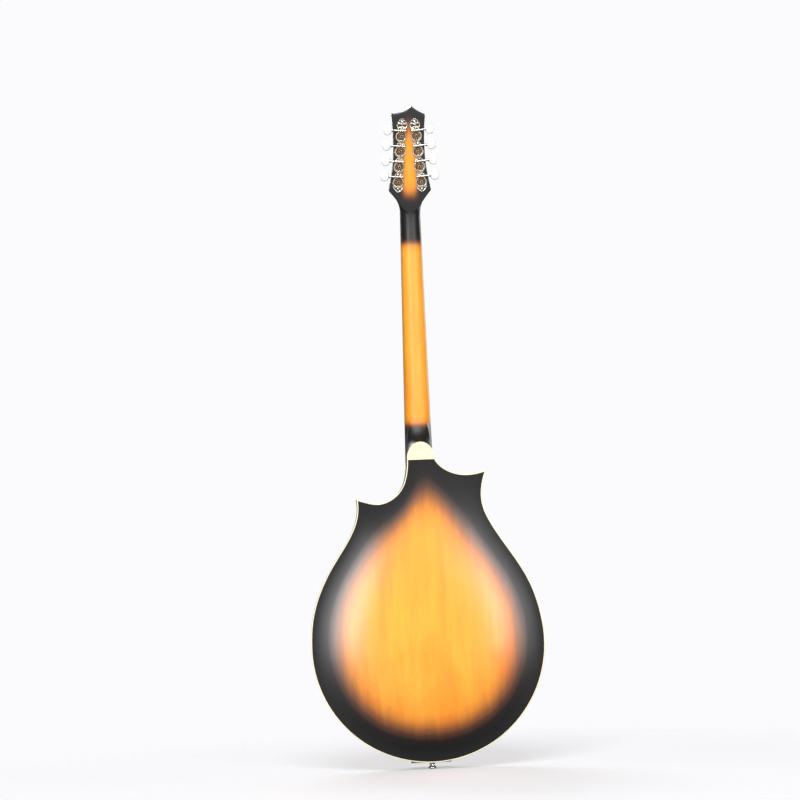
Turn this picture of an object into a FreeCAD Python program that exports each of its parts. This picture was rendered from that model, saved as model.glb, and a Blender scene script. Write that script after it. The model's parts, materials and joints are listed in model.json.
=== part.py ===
import FreeCAD, Part
import math
import os

from FreeCAD import Placement, Rotation, Vector

# A long-necked eight-string mandolin with a two-point arched body, standing on its end pin.
# +Z runs up the neck, the strings face -Y, the arched back faces +Y, the treble side is +X.
# The origin is the centre of the end pin's flat face. All sizes are in millimetres.

# ---- driving dimensions -------------------------------------------------------------------

SCALE_LENGTH = 635.0
CLEAR_FRETS = 15
FRET_COUNT = 22

PIN_LENGTH = 10.5
TAIL_SCREWS = ((-11.0, -17.0), (11.0, -17.0), (0.0, -18.5))
BODY_LENGTH = 446.0
BODY_HALF_WIDTH = 172.2
HIP_DROP = 271.5
RIB_HALF = 22.0
RIB_THICK = 2.2
EDGE_THICK = 4.5
BINDING = 1.5
LINING_THICK = 5.0
LINING_HIGH = 11.0
ARCH_RISE = 15.0
TOP_FULLNESS = 0.75     # the smaller, the nearer to the edge the arching starts to rise
BACK_FULLNESS = 1.05
INSET_STEPS = 14
FILM_STEP = 5.0
FILM_COLUMNS = 36
FILM_ROWS = 94
PLATE_THICK = 4.7
LEDGE = 12.0

JOINT_Z = PIN_LENGTH + BODY_LENGTH
EDGE_Y = RIB_HALF + EDGE_THICK

NECK_ANGLE = 5.0
HEAD_ANGLE = 14.0
BOARD_Y = -36.0
BOARD_THICK = 6.0
NUT_HALF_WIDTH = 15.1
JOINT_HALF_WIDTH = 20.4
NUT_THICK = 5.0
NUT_S = SCALE_LENGTH * (1 - 2 ** (-CLEAR_FRETS / 12))
BRIDGE_S = NUT_S - SCALE_LENGTH
HEEL_HALF_WIDTH = 20.5
HEEL_REACH = 25.0
HEEL_CAP_THICK = 3.0

HEAD_THICK = 15.0
VENEER_THICK = 1.6

TUNER_ROWS = 4
TUNER_PITCH = 23.0
TUNER_MIDDLE_S = 88.5
TUNER_MIDDLE_X = 13.8
TUNER_SPLAY = 5.1
GEAR_TEETH = 15
GEAR_RADIUS = 5.0
GEAR_THICK = 4.0
WORM_RADIUS = 2.7
WORM_OFFSET = 7.9
SHAFT_RADIUS = 1.5
SHAFT_DEPTH = HEAD_THICK + 4.6
TUNER_PLATE_THICK = 1.2
POST_RADIUS = 3.0
POST_TOP = -10.0
RUNNING_GAP = 0.06
BUTTON_Q = 21.2
BUTTON_LENGTH = 12.4
BUTTON_HEIGHT = 15.8
BUTTON_THICK = 9.0
PLATE_SCREWS = (-45.5, -19.0, 4.0, 27.0, 54.5)

HOOK_RADIUS = 1.1
TAIL_TILT = 13.0
STRING_AT_BRIDGE = 4.5
STRING_AT_NUT = 0.9

# Course centres across the nut and the saddle, bass first, with each string's radius.
NUT_COURSES = (-11.1, -3.7, 3.7, 11.1)
SADDLE_COURSES = (-20.4, -6.8, 6.8, 20.4)
COURSE_RADII = (0.58, 0.41, 0.28, 0.18)
NUT_PAIR = 2.6
SADDLE_PAIR = 3.6

# Body outline, measured from the middle of the neck joint: x to the treble side, w up the neck.
HIP = (BODY_HALF_WIDTH, -HIP_DROP)
TREBLE_POINT = (97.5, -57.0)
BASS_POINT = (-96.0, -20.5)
TREBLE_SIDE = ((168.0, -227.0), (155.5, -189.0), (136.5, -153.5), (114.5, -120.0), (101.0, -93.0), (96.8, -74.0))
BASS_SIDE = ((-167.5, -231.0), (-156.0, -192.5), (-137.5, -157.0), (-115.5, -123.5), (-99.5, -97.0),
             (-88.8, -69.0), (-89.5, -42.0))
TREBLE_CUTAWAY = ((84.5, -61.0), (65.5, -64.5), (46.0, -58.5), (31.5, -45.0), (23.5, -26.0))
BASS_CUTAWAY = ((-85.0, -23.5), (-65.5, -25.5), (-45.5, -21.5), (-29.0, -11.5))

# Headstock outline beside its centre line: x out, s up from the nut. The crest leans to the bass side.
HEAD_THROAT = ((15.1, 4.0), (16.6, 15.0), (20.5, 25.0), (26.0, 33.5), (31.6, 40.3))
HEAD_CHEEK = ((31.6, 40.3), (28.4, 56.0), (24.7, 78.0), (23.0, 106.0), (23.4, 134.5), (25.0, 155.4))
CREST = (-5.0, 164.9)
CREST_TREBLE = (6.0, 158.3)
CREST_BASS = (-15.5, 156.8)
CORNER_DROP = 3.3     # the corner on the bass side stands lower


# ---- small helpers ------------------------------------------------------------------------

def save(name, *solids):
    shape = solids[0]
    if len(solids) > 1:
        shape = Part.makeCompound(list(solids))
    shape.exportStep("parts/" + name + ".step")


def fuse(solids):
    return solids[0].multiFuse(solids[1:]).removeSplitter()


def box(low, high):
    size = [b - a for a, b in zip(low, high)]
    return Part.makeBox(size[0], size[1], size[2], Vector(*low))


def rod(radius, start, end):
    start = Vector(*start)
    along = Vector(*end) - start
    return Part.makeCylinder(radius, along.Length, start, along)


def placed(shape, place):
    moved = shape.copy()
    moved.Placement = place.multiply(moved.Placement)
    return moved


def spline(points, start=None, end=None):
    """A smooth curve through the points; start and end are unit tangents where they matter."""
    tangents = [Vector(0, 0, 1)] * len(points)
    tangents[0] = start or Vector(0, 0, 1)
    tangents[-1] = end or Vector(0, 0, 1)
    flags = [start is not None] + [False] * (len(points) - 2) + [end is not None]
    curve = Part.BSplineCurve()
    curve.interpolate(Points=points, Tangents=tangents, TangentFlags=flags, Scale=False)
    return curve.toShape()


def prism(wire, y_low, y_high):
    face = Part.Face(wire)
    face.translate(Vector(0, y_low, 0))
    return face.extrude(Vector(0, y_high - y_low, 0))


def neck_place():
    return Placement(Vector(0, BOARD_Y, JOINT_Z), Rotation(Vector(1, 0, 0), -NECK_ANGLE))


def neck_point(x, depth, s):
    return neck_place().multVec(Vector(x, depth, s))


def head_place():
    start = neck_point(0, BOARD_THICK, NUT_S)
    return Placement(start, Rotation(Vector(1, 0, 0), -NECK_ANGLE - HEAD_ANGLE))


def board_half_width(s):
    return JOINT_HALF_WIDTH + (NUT_HALF_WIDTH - JOINT_HALF_WIDTH) * s / NUT_S


def fret_s(number):
    return NUT_S - SCALE_LENGTH * (1 - 2 ** (-number / 12))


# ---- body outline and arching -------------------------------------------------------------

def body_points(pairs):
    return [Vector(x, 0, JOINT_Z + w) for x, w in pairs]


def body_edges():
    hip_treble, hip_bass, foot = body_points((HIP, (-HIP[0], HIP[1]), (0, -BODY_LENGTH)))
    point_treble, point_bass = body_points((TREBLE_POINT, BASS_POINT))
    neck_treble, neck_bass = body_points(((HEEL_HALF_WIDTH, 0), (-HEEL_HALF_WIDTH, 0)))
    up = Vector(0, 0, 1)
    bout = Part.Arc(hip_bass, foot, hip_treble).toShape()
    treble = spline([hip_treble] + body_points(TREBLE_SIDE) + [point_treble], start=up)
    treble_cut = spline([point_treble] + body_points(TREBLE_CUTAWAY) + [neck_treble])
    heel_line = Part.makeLine(neck_treble, neck_bass)
    bass_cut = spline([neck_bass] + body_points(reversed(BASS_CUTAWAY)) + [point_bass])
    bass = spline([point_bass] + body_points(reversed(BASS_SIDE)) + [hip_bass], end=up * -1)
    return [bout, treble, treble_cut, heel_line, bass_cut, bass]


def inward(tangent):
    return Vector(-tangent.z, 0, tangent.x)


def inset_edge(edge, distance, first, last, trim):
    """One stretch of the outline moved inwards, ending at two mitred corners; trim is what they take."""
    reach = edge.Length - trim[0] - trim[1]
    spots = []
    for step in range(INSET_STEPS + 1):
        length = min(trim[0] + reach * step / INSET_STEPS, edge.Length * 0.999999)
        at = edge.getParameterByLength(length)
        spots.append((edge.valueAt(at) + inward(edge.tangentAt(at)) * distance, edge.tangentAt(at)))
    if edge.Curve.TypeId == "Part::GeomLine":
        return Part.makeLine(first, last)
    if edge.Curve.TypeId == "Part::GeomCircle":
        return Part.Arc(first, spots[INSET_STEPS // 2][0], last).toShape()
    middle = [spot for spot, tangent in spots[1:-1]]
    return spline([first] + middle + [last], start=spots[0][1], end=spots[-1][1])


def inset(distance):
    """The body outline moved inwards by the same distance all round."""
    edges = body_edges()
    corners = []
    trims = []
    for edge, after in zip(edges, edges[1:] + edges[:1]):
        a = inward(edge.tangentAt(edge.LastParameter))
        b = inward(after.tangentAt(after.FirstParameter))
        bend = min(a.dot(b), 1.0)
        corners.append(edge.valueAt(edge.LastParameter) + (a + b) * (distance / (1 + bend)))
        trims.append(distance * math.sqrt((1 - bend) / (1 + bend)))
    moved = []
    for step, edge in enumerate(edges):
        trim = (trims[step - 1], trims[step])
        moved.append(inset_edge(edge, distance, corners[step - 1], corners[step], trim))
    return Part.Wire(moved)


def membrane():
    """A film held along the body outline and lifted evenly, as {(column, row): height}, with its peak at 1."""
    face = Part.Face(inset(0))
    film = {}
    for column in range(-FILM_COLUMNS, FILM_COLUMNS + 1):
        for row in range(FILM_ROWS):
            if face.isInside(film_spot(column, row), 0.01, True):
                film[column, row] = 0.0
    for sweep in range(150):
        for (column, row), height in film.items():
            around = film.get((column - 1, row), 0.0) + film.get((column + 1, row), 0.0)
            around += film.get((column, row - 1), 0.0) + film.get((column, row + 1), 0.0)
            film[column, row] = height + 1.85 * ((around + 1) / 4 - height)
    peak = max(film.values())
    return {spot: height / peak for spot, height in film.items()}


def film_spot(column, row):
    return Vector(FILM_STEP * column, 0, FILM_STEP * (row - 1))


def arch_grid(film, fullness):
    """Heights of the arching over a grid that covers the whole outline: flat edge, recurve, crown."""
    grid = []
    for column in range(-FILM_COLUMNS, FILM_COLUMNS + 1, 3):
        line = []
        for row in range(0, FILM_ROWS, 3):
            lift = film.get((column, row), 0.0) ** fullness
            spot = film_spot(column, row)
            line.append(Vector(spot.x, ARCH_RISE * lift * lift * (3 - 2 * lift), spot.z))
        grid.append(line)
    return grid


def under_arch(grid, side, height):
    """Everything on the body's side of an arched surface; side is +1 for the back, -1 for the top."""
    surface = Part.BSplineSurface()
    surface.interpolate([[Vector(p.x, side * (height + p.y), p.z) for p in row] for row in grid])
    return surface.toShape().extrude(Vector(0, -side * 2 * EDGE_Y, 0))


def arched_plate(grid, side):
    """A carved plate: arched outside, hollowed inside, with a flat ledge where the ribs are glued."""
    low, high = sorted((0, side * (EDGE_Y + ARCH_RISE + 5)))
    plate = prism(inset(BINDING), low, high).common(under_arch(grid, side, EDGE_Y))
    plate = plate.cut(box((-200, -RIB_HALF, -50), (200, RIB_HALF, JOINT_Z + 50)))
    return plate.cut(plate_hollow(grid, side))


def plate_hollow(grid, side):
    low, high = sorted((0, side * (EDGE_Y + ARCH_RISE + 5)))
    return prism(inset(LEDGE), low, high).common(under_arch(grid, side, EDGE_Y - PLATE_THICK))


def f_hole(side):
    """One sound hole: two round eyes joined by a swelling S-shaped slot."""
    z = JOINT_Z + BRIDGE_S
    line = ((58, 62), (68, 52), (72, 28), (75, 0), (78, -28), (83, -50), (94, -58))
    widths = (1.0, 2.6, 3.6, 4.2, 3.6, 2.6, 1.0)
    left = [Vector(side * (x - w), 0, z + h - 0.3 * w) for (x, h), w in zip(line, widths)]
    right = [Vector(side * (x + w), 0, z + h + 0.3 * w) for (x, h), w in zip(line, widths)]
    right.reverse()
    ends = [Part.makeLine(left[-1], right[0]), Part.makeLine(right[-1], left[0])]
    slot = prism(Part.Wire([spline(left), ends[0], spline(right), ends[1]]), -70, -RIB_HALF + 1)
    upper = rod(5.0, (side * 58, -70, z + 57), (side * 58, -RIB_HALF + 1, z + 57))
    lower = rod(7.0, (side * 94, -70, z - 52), (side * 94, -RIB_HALF + 1, z - 52))
    return fuse([slot, upper, lower])


# ---- body ---------------------------------------------------------------------------------

def cutaway_zone(point, bisector, side):
    """A prism over the cutaway on one side, bounded by the mitre at the body's point."""
    x, w = point
    corners = ((x, w), (x + 60 * bisector[0], w + 60 * bisector[1]), (0, w + 60 * bisector[1]), (0, 30), (x, 30))
    path = body_points(corners)
    return prism(Part.makePolygon(path + path[:1]), -RIB_HALF - 1, RIB_HALF + 1)


def tenon():
    return box((-9, -RIB_HALF, JOINT_Z - 14), (9, RIB_HALF, JOINT_Z + 2))


def tail_screws():
    return [rod(1.3, (x, y, PIN_LENGTH - 1.2), (x, y, PIN_LENGTH + 14)) for x, y in TAIL_SCREWS]


def pin_hole():
    return rod(3.5, (0, 0, 0), (0, 0, PIN_LENGTH + 20))


def ribs():
    ring = prism(inset(0), -RIB_HALF, RIB_HALF).cut(prism(inset(RIB_THICK), -RIB_HALF, RIB_HALF))
    for hole in [tenon(), pin_hole()] + tail_screws():
        ring = ring.cut(hole)
    treble_zone = cutaway_zone(TREBLE_POINT, (-0.65, -0.76), 1)
    bass_zone = cutaway_zone(BASS_POINT, (0.70, -0.71), -1)
    lower = ring.cut(treble_zone).cut(bass_zone)
    treble_half = box((0, -30, -50), (300, 30, JOINT_Z + 50))
    save("rib_treble", lower.common(treble_half))
    save("rib_bass", lower.cut(treble_half))
    save("cutaway_ribs", ring.common(treble_zone), ring.common(bass_zone))


def bindings():
    for name, low in (("back_binding", RIB_HALF), ("top_binding", -EDGE_Y)):
        ring = prism(inset(0), low, low + EDGE_THICK).cut(prism(inset(BINDING), low, low + EDGE_THICK))
        save(name, ring)


def blocks_and_linings():
    room = prism(inset(RIB_THICK), -RIB_HALF, RIB_HALF)
    neck_block = room.common(box((-30, -RIB_HALF, JOINT_Z - 48), (30, RIB_HALF, JOINT_Z))).cut(tenon())
    tail_block = room.common(box((-38, -RIB_HALF, 0), (38, RIB_HALF, PIN_LENGTH + 26)))
    for hole in [pin_hole()] + tail_screws():
        tail_block = tail_block.cut(hole)
    point_blocks = []
    for x, w in (TREBLE_POINT, BASS_POINT):
        corner = rod(22, (x, -RIB_HALF, JOINT_Z + w), (x, RIB_HALF, JOINT_Z + w))
        point_blocks.append(room.common(corner))
    linings = []
    for low in (-RIB_HALF, RIB_HALF - LINING_HIGH):
        ring = prism(inset(RIB_THICK), low, low + LINING_HIGH)
        ring = ring.cut(prism(inset(RIB_THICK + LINING_THICK), low, low + LINING_HIGH))
        for block in [neck_block, tail_block, tenon()] + point_blocks + tail_screws():
            ring = ring.cut(block)
        linings += ring.Solids
    save("neck_block", neck_block)
    save("tail_block", tail_block)
    save("point_blocks", *point_blocks)
    save("linings", *linings)


def plates(grid, back_grid):
    back = arched_plate(back_grid, 1)
    top = arched_plate(grid, -1)
    for side in (-1, 1):
        top = top.cut(f_hole(side))
    save("back_plate", back)
    save("top_plate", top)
    bars = []
    hollow = plate_hollow(grid, -1)
    for foot, head in ((-38, -26), (38, 26)):
        path = body_points(((foot - 4, -400), (foot + 4, -400), (head + 4, -110), (head - 4, -110)))
        bar = prism(Part.makePolygon(path + path[:1]), -EDGE_Y - ARCH_RISE, -24)
        bars.append(bar.common(hollow))
    save("tone_bars", *bars)


def end_pin():
    profile = ((0, 0), (5.4, 0), (6.3, 0.8), (6.3, 2.2), (5.2, 3.2), (3.6, 4.6), (3.4, 6.0), (4.2, 7.6),
               (6.0, 8.7), (6.0, 9.3), (3.5, 9.3), (3.5, 29), (0, 29))
    corners = [Vector(r, 0, z) for r, z in profile]
    face = Part.Face(Part.makePolygon(corners + corners[:1]))
    save("end_pin", face.revolve(Vector(0, 0, 0), Vector(0, 0, 1), 360))


# ---- neck ---------------------------------------------------------------------------------

def neck_section(place, s, half_width, top, depth, squareness):
    """The rounded outline of the neck across its length, flat where the fingerboard is glued."""
    steps = 14
    points = []
    for step in range(steps + 1):
        turn = math.pi * step / steps
        across = math.copysign(abs(math.cos(turn)) ** (2 / squareness), math.cos(turn))
        down = math.sin(turn) ** (2 / squareness) if 0 < step < steps else 0
        points.append(Vector(half_width * across, top + depth * down, s))
    wire = Part.Wire([spline(points), Part.makeLine(points[-1], points[0])])
    return placed(wire, place)


def neck_shaft():
    sections = []
    for s, depth in ((-2, 18.5), (60, 17.8), (120, 17.2), (180, 16.6), (240, 16.0), (300, 15.4), (340, 15.1), (360, 15.0)):
        sections.append(neck_section(neck_place(), s, board_half_width(s), BOARD_THICK, depth, 2.3))
    for s, half_width, squareness in ((10, 15.6, 2.8), (20, 18.2, 3.4), (30, 22.5, 4.5)):
        depth = HEAD_THICK - VENEER_THICK - 0.1
        sections.append(neck_section(head_place(), s, half_width, VENEER_THICK, depth, squareness))
    return Part.makeLoft(sections, True)


def half_round(y, half_width, reach):
    """A half ellipse that stands on the joint, closed by a straight line."""
    steps = 10
    turns = [math.pi * step / steps for step in range(steps + 1)]
    points = [Vector(half_width * math.cos(t), y, JOINT_Z + reach * math.sin(t)) for t in turns]
    curve = spline(points, start=Vector(0, 0, 1), end=Vector(0, 0, -1))
    return Part.Wire([curve, Part.makeLine(points[-1], points[0])])


def heel():
    """Half-round slices that sweep from the heel cap up into the back of the neck."""
    slices = [half_round(EDGE_Y - HEEL_CAP_THICK, HEEL_HALF_WIDTH, HEEL_REACH)]
    for y, half_width, reach in ((16, 20.5, 26.0), (8, 20.4, 29.5), (1, 20.3, 37.0), (-4, 20.1, 50.0), (-7, 19.8, 70.0)):
        slices.append(half_round(y, half_width, reach))
    slices.append(half_round(-22, 19.4, 72.0))
    return Part.makeLoft(slices, True)


def head_outline(lift):
    """Headstock outline, with its neck end drawn in to a U on the back."""
    cheek = [Vector(x, 0, s) for x, s in HEAD_CHEEK]
    throat = [Vector(x, 0, s) for x, s in HEAD_THROAT]
    if lift:
        throat = [Vector(0, 0, 5.0), Vector(11.5, 0, 12.5), Vector(18.7, 0, 23.5), Vector(26.0, 0, 33.5), cheek[0]]
    mirror = [Vector(-p.x, 0, p.z) for p in cheek]
    other = [Vector(-p.x, 0, p.z) for p in throat]
    mirror[-1] = mirror[-1] - Vector(0, 0, CORNER_DROP)
    crest = Vector(CREST[0], 0, CREST[1])
    edges = [spline(throat), spline(cheek)]
    edges.append(spline([cheek[-1], Vector(CREST_TREBLE[0], 0, CREST_TREBLE[1]), crest]))
    edges.append(spline([crest, Vector(CREST_BASS[0], 0, CREST_BASS[1]), mirror[-1]]))
    edges.append(spline(mirror[::-1]))
    edges.append(spline(other[::-1]))
    if not lift:
        edges.append(Part.makeLine(other[0], throat[0]))
    return Part.Wire(edges)


def plate_place(side):
    middle = Vector(side * TUNER_MIDDLE_X, 0, TUNER_MIDDLE_S)
    turn = Rotation(Vector(0, 1, 0), -side * TUNER_SPLAY)
    return head_place().multiply(Placement(middle, turn))


def tuner_posts():
    """Every tuner as (number, side, place): place is at its gear, x outwards and z towards the crest."""
    tuners = []
    for side in (-1, 1):
        for row in range(TUNER_ROWS):
            along = (row - (TUNER_ROWS - 1) / 2) * TUNER_PITCH
            lean = math.radians(TUNER_SPLAY)
            x = side * (TUNER_MIDDLE_X - along * math.sin(lean))
            s = TUNER_MIDDLE_S + along * math.cos(lean)
            turn = Rotation(Vector(0, 1, 0), -side * TUNER_SPLAY)
            number = row + 1 if side < 0 else row + 1 + TUNER_ROWS
            tuners.append((number, side, head_place().multiply(Placement(Vector(x, 0, s), turn))))
    return tuners


def head_screws():
    """Every headstock screw as (place, start, inward, head radius, shank radius, shank length)."""
    screws = []
    for side in (-1, 1):
        for spot in PLATE_SCREWS:
            start = (0, HEAD_THICK + TUNER_PLATE_THICK, spot)
            screws.append((plate_place(side), start, -1, 2.1, 1.1, 7.0))
    for x, s in ((-6.3, 12.5), (6.3, 12.5), (0, 37.5)):
        screws.append((head_place(), (x, -1.6, s), 1, 1.5, 0.8, 6.0))
    return screws


def head_screw_holes():
    holes = []
    for place, (x, y, s), inward, head, shank, length in head_screws():
        holes.append(placed(rod(shank, (x, y, s), (x, y + inward * length, s)), place))
    return holes


def bushing_sleeves(radius, depth):
    sleeves = []
    for number, side, place in tuner_posts():
        sleeves.append(placed(rod(radius, (0, -5, 0), (0, depth, 0)), place))
    return sleeves


def truss_pocket():
    return placed(box((-4, -3, 4), (4, 7, 32)), head_place())


def truss_channel():
    return placed(box((-3.1, BOARD_THICK, 18), (3.1, BOARD_THICK + 9.5, NUT_S + 6)), neck_place())


def neck(top_blank):
    slab = placed(prism(head_outline(True), VENEER_THICK, HEAD_THICK), head_place())
    riser = placed(box((-14, BOARD_THICK, -86), (14, BOARD_THICK + 16, 4)), neck_place())
    riser = riser.cut(top_blank)
    riser = riser.common(box((-50, -80, JOINT_Z - 120), (50, -EDGE_Y, JOINT_Z + 4)))
    above_board = placed(box((-60, -40, -200), (60, BOARD_THICK, NUT_S + NUT_THICK)), neck_place())
    above_head = placed(box((-60, -40, NUT_THICK), (60, VENEER_THICK, 200)), head_place())
    body_side = box((-60, -EDGE_Y, JOINT_Z - 80), (60, 60, JOINT_Z))
    wood = fuse([neck_shaft(), heel(), slab])
    wood = wood.cut(box((-60, -80, JOINT_Z - 80), (60, 60, JOINT_Z)))
    wood = wood.cut(above_board).cut(above_head)
    wood = fuse([wood, riser.cut(body_side), tenon()])
    wood = wood.cut(truss_channel()).cut(truss_pocket())
    for hole in bushing_sleeves(3.9, HEAD_THICK + 1) + head_screw_holes():
        wood = wood.cut(hole)
    save("neck", wood)
    return wood


def heel_cap():
    wire = half_round(0, HEEL_HALF_WIDTH, HEEL_REACH)
    save("heel_cap", prism(wire, EDGE_Y - HEEL_CAP_THICK, EDGE_Y))


def fingerboard_and_frets():
    end_s = fret_s(FRET_COUNT) - 6
    corners = [Vector(board_half_width(end_s), 0, end_s), Vector(NUT_HALF_WIDTH, 0, NUT_S),
               Vector(-NUT_HALF_WIDTH, 0, NUT_S), Vector(-board_half_width(end_s), 0, end_s)]
    board = prism(Part.makePolygon(corners + corners[:1]), 0, BOARD_THICK)
    frets = []
    for number in range(1, FRET_COUNT + 1):
        s = fret_s(number)
        reach = board_half_width(s)
        crown = rod(1.15, (-reach, 0.25, s), (reach, 0.25, s)).cut(box((-40, 0, s - 3), (40, 3, s + 3)))
        tang = box((-reach, 0, s - 0.3), (reach, 1.8, s + 0.3))
        frets.append(crown.fuse(tang).removeSplitter())
        board = board.cut(tang)
    dots = []
    for number in (3, 5, 7, 10, 12, 15, 17, 19):
        s = (fret_s(number) + fret_s(number - 1)) / 2
        offsets = (-5.5, 5.5) if number == 12 else (0,)
        for x in offsets:
            dots.append(rod(2.6 if number < 15 else 2.0, (x, 0, s), (x, 1.2, s)))
        reach = board_half_width(s)
        dots.append(rod(1.0, (-reach - 0.05, 3.0, s), (-reach + 1.5, 3.0, s)))
    for dot in dots:
        board = board.cut(dot)
    save("fingerboard", placed(board, neck_place()))
    save("frets", *[placed(fret, neck_place()) for fret in frets])
    save("position_dots", *[placed(dot, neck_place()) for dot in dots])


def headstock_front(neck_wood):
    veneer = placed(prism(head_outline(False), 0, VENEER_THICK), head_place())
    veneer = veneer.cut(placed(box((-60, -5, -20), (60, BOARD_THICK, NUT_S + NUT_THICK)), neck_place()))
    veneer = veneer.cut(truss_pocket()).cut(neck_wood)
    for hole in bushing_sleeves(3.9, HEAD_THICK + 1) + head_screw_holes():
        veneer = veneer.cut(hole)
    save("headstock_veneer", veneer)
    rim = [Vector(x, 0, s) for x, s in ((-8, 9), (-10, 24), (-6, 34), (0, 42), (6, 34), (10, 24), (8, 9))]
    wire = Part.Wire([spline(rim), Part.makeLine(rim[-1], rim[0])])
    cover = placed(prism(wire, -1.6, 0), head_place())
    for hole in head_screw_holes():
        cover = cover.cut(hole)
    save("truss_rod_cover", cover)
    bushings = []
    for number, side, place in tuner_posts():
        sleeve = rod(3.9, (0, 0, 0), (0, 8, 0)).fuse(rod(4.6, (0, -1.2, 0), (0, 0, 0)))
        sleeve = sleeve.cut(rod(POST_RADIUS + RUNNING_GAP, (0, -3, 0), (0, 9, 0)))
        bushings.append(placed(sleeve.removeSplitter(), place))
    save("post_bushings", *bushings)


def truss_rod():
    bar = rod(2.4, (0, BOARD_THICK + 5, 22), (0, BOARD_THICK + 5, NUT_S + 5))
    nut = rod(3.0, (0, BOARD_THICK + 5, NUT_S - 4), (0, BOARD_THICK + 5, NUT_S + 5))
    save("truss_rod", placed(bar.fuse(nut).removeSplitter(), neck_place()))


# ---- strings, nut and bridge --------------------------------------------------------------

def string_list():
    """Every string as (number, radius, x at the nut, x at the saddle), bass first."""
    strings = []
    for course in range(4):
        for pair, step in ((0, -0.5), (1, 0.5)):
            nut_x = NUT_COURSES[course] + step * NUT_PAIR
            saddle_x = SADDLE_COURSES[course] + step * SADDLE_PAIR
            strings.append((2 * course + pair + 1, COURSE_RADII[course], nut_x, saddle_x))
    return strings


def string_post(number):
    """The tuner that takes a string: the outer string of each side goes to the lowest post."""
    row = number if number <= TUNER_ROWS else 2 * TUNER_ROWS + 1 - number
    wanted = row if number <= TUNER_ROWS else row + TUNER_ROWS
    for tuner in tuner_posts():
        if tuner[0] == wanted:
            return tuner
    return None


def tail_place():
    return Placement(Vector(0, -EDGE_Y - 0.5, PIN_LENGTH - 1.2), Rotation(Vector(1, 0, 0), TAIL_TILT))


def hook_spot(number, saddle_x):
    step = 1 if number in (2, 3, 6, 7) else 0
    return Vector(saddle_x * 0.92, -3.0, 52 - 9 * step)


def string_points(string):
    number, radius, nut_x, saddle_x = string
    tail = tail_place().multVec(hook_spot(number, saddle_x) + Vector(0, 0, HOOK_RADIUS + 0.15 + radius))
    saddle = neck_point(saddle_x, -STRING_AT_BRIDGE, BRIDGE_S)
    nut = neck_point(nut_x, -STRING_AT_NUT - radius, NUT_S + NUT_THICK / 2)
    post_number, side, place = string_post(number)
    wrap = POST_RADIUS + radius + 0.05
    return tail, saddle, nut, place.multVec(Vector(-side * wrap, -5.0, 0))


def tube(inner, outer, low, high):
    return rod(outer, (0, low, 0), (0, high, 0)).cut(rod(inner, (0, low - 1, 0), (0, high + 1, 0)))


def string_solid(string, extra=0.0, ends=True):
    """Straight runs from the tailpiece over the saddle and the nut, with a loop and a wound end."""
    number, radius, nut_x, saddle_x = string
    points = string_points(string)
    pieces = [rod(radius + extra, a, b) for a, b in zip(points, points[1:])]
    pieces += [Part.makeSphere(radius * 1.02 + extra, point) for point in points[1:3]]
    if ends:
        post_number, side, place = string_post(number)
        inner = POST_RADIUS + 0.05
        pieces.append(placed(tube(inner, inner + 2 * radius, -5.0 - radius, -5.0 + 5 * radius), place))
        loop = tube(HOOK_RADIUS + 0.15, HOOK_RADIUS + 0.15 + 2 * radius, -0.8 * radius, 0.8 * radius)
        loop.translate(hook_spot(number, saddle_x))
        pieces.append(placed(loop, tail_place()))
    return fuse(pieces)


def strings():
    made = [(string[0], string_solid(string)) for string in string_list()]
    save("strings_wound", *[solid for number, solid in made if number <= 6])
    save("strings_plain", *[solid for number, solid in made if number > 6])


def nut():
    bone = box((-NUT_HALF_WIDTH, -1.9, NUT_S), (NUT_HALF_WIDTH, BOARD_THICK, NUT_S + NUT_THICK))
    bone = placed(bone, neck_place())
    for string in string_list():
        bone = bone.cut(string_solid(string, 0.03, False))
    save("nut", bone)


def bridge(grid):
    z = neck_point(0, -STRING_AT_BRIDGE, BRIDGE_S).z
    top_y = neck_point(0, -STRING_AT_BRIDGE, BRIDGE_S).y
    base_y = top_y + 13.5
    stud_x = 33.0
    side_view = ((-62, -30), (-62, base_y + 4), (-52, base_y), (52, base_y), (62, base_y + 4), (62, -30),
                 (22, -30), (14, base_y + 5.5), (-14, base_y + 5.5), (-22, -30))
    corners = [Vector(x, y, z - 5.5) for x, y in side_view]
    base = Part.Face(Part.makePolygon(corners + corners[:1])).extrude(Vector(0, 0, 11))
    base = base.cut(under_arch(grid, -1, EDGE_Y))
    studs = []
    wheels = []
    bar_view = ((-54, top_y + 8.7), (-54, top_y + 3.5), (-36, top_y - 0.4), (36, top_y - 0.4),
                (54, top_y + 3.5), (54, top_y + 8.7), (24, top_y + 8.7), (14, top_y + 6.2),
                (-14, top_y + 6.2), (-24, top_y + 8.7))
    corners = [Vector(x, y, z - 4) for x, y in bar_view]
    saddle = Part.Face(Part.makePolygon(corners + corners[:1])).extrude(Vector(0, 0, 8))
    for x in (-stud_x, stud_x):
        stud = rod(2.0, (x, base_y + 5, z), (x, top_y + 2.6, z))
        base = base.cut(stud)
        studs.append(stud)
        saddle = saddle.cut(rod(2.15, (x, top_y + 10, z), (x, top_y + 1.2, z)))
        wheel = rod(7.6, (x, top_y + 8.8, z), (x, top_y + 11.4, z))
        for notch in range(24):
            turn = math.radians(15 * notch)
            spot = (x + 7.9 * math.cos(turn), z + 7.9 * math.sin(turn))
            wheel = wheel.cut(rod(0.5, (spot[0], top_y + 8, spot[1]), (spot[0], top_y + 12, spot[1])))
        wheels.append(wheel.cut(rod(2.0 + RUNNING_GAP, (x, top_y + 8, z), (x, top_y + 12, z))))
    for string in string_list():
        saddle = saddle.cut(string_solid(string, 0.05, False))
    save("bridge_base", base)
    save("bridge_studs", *studs)
    save("bridge_saddle", saddle)
    save("thumbwheel_bass", wheels[0])
    save("thumbwheel_treble", wheels[1])


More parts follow.
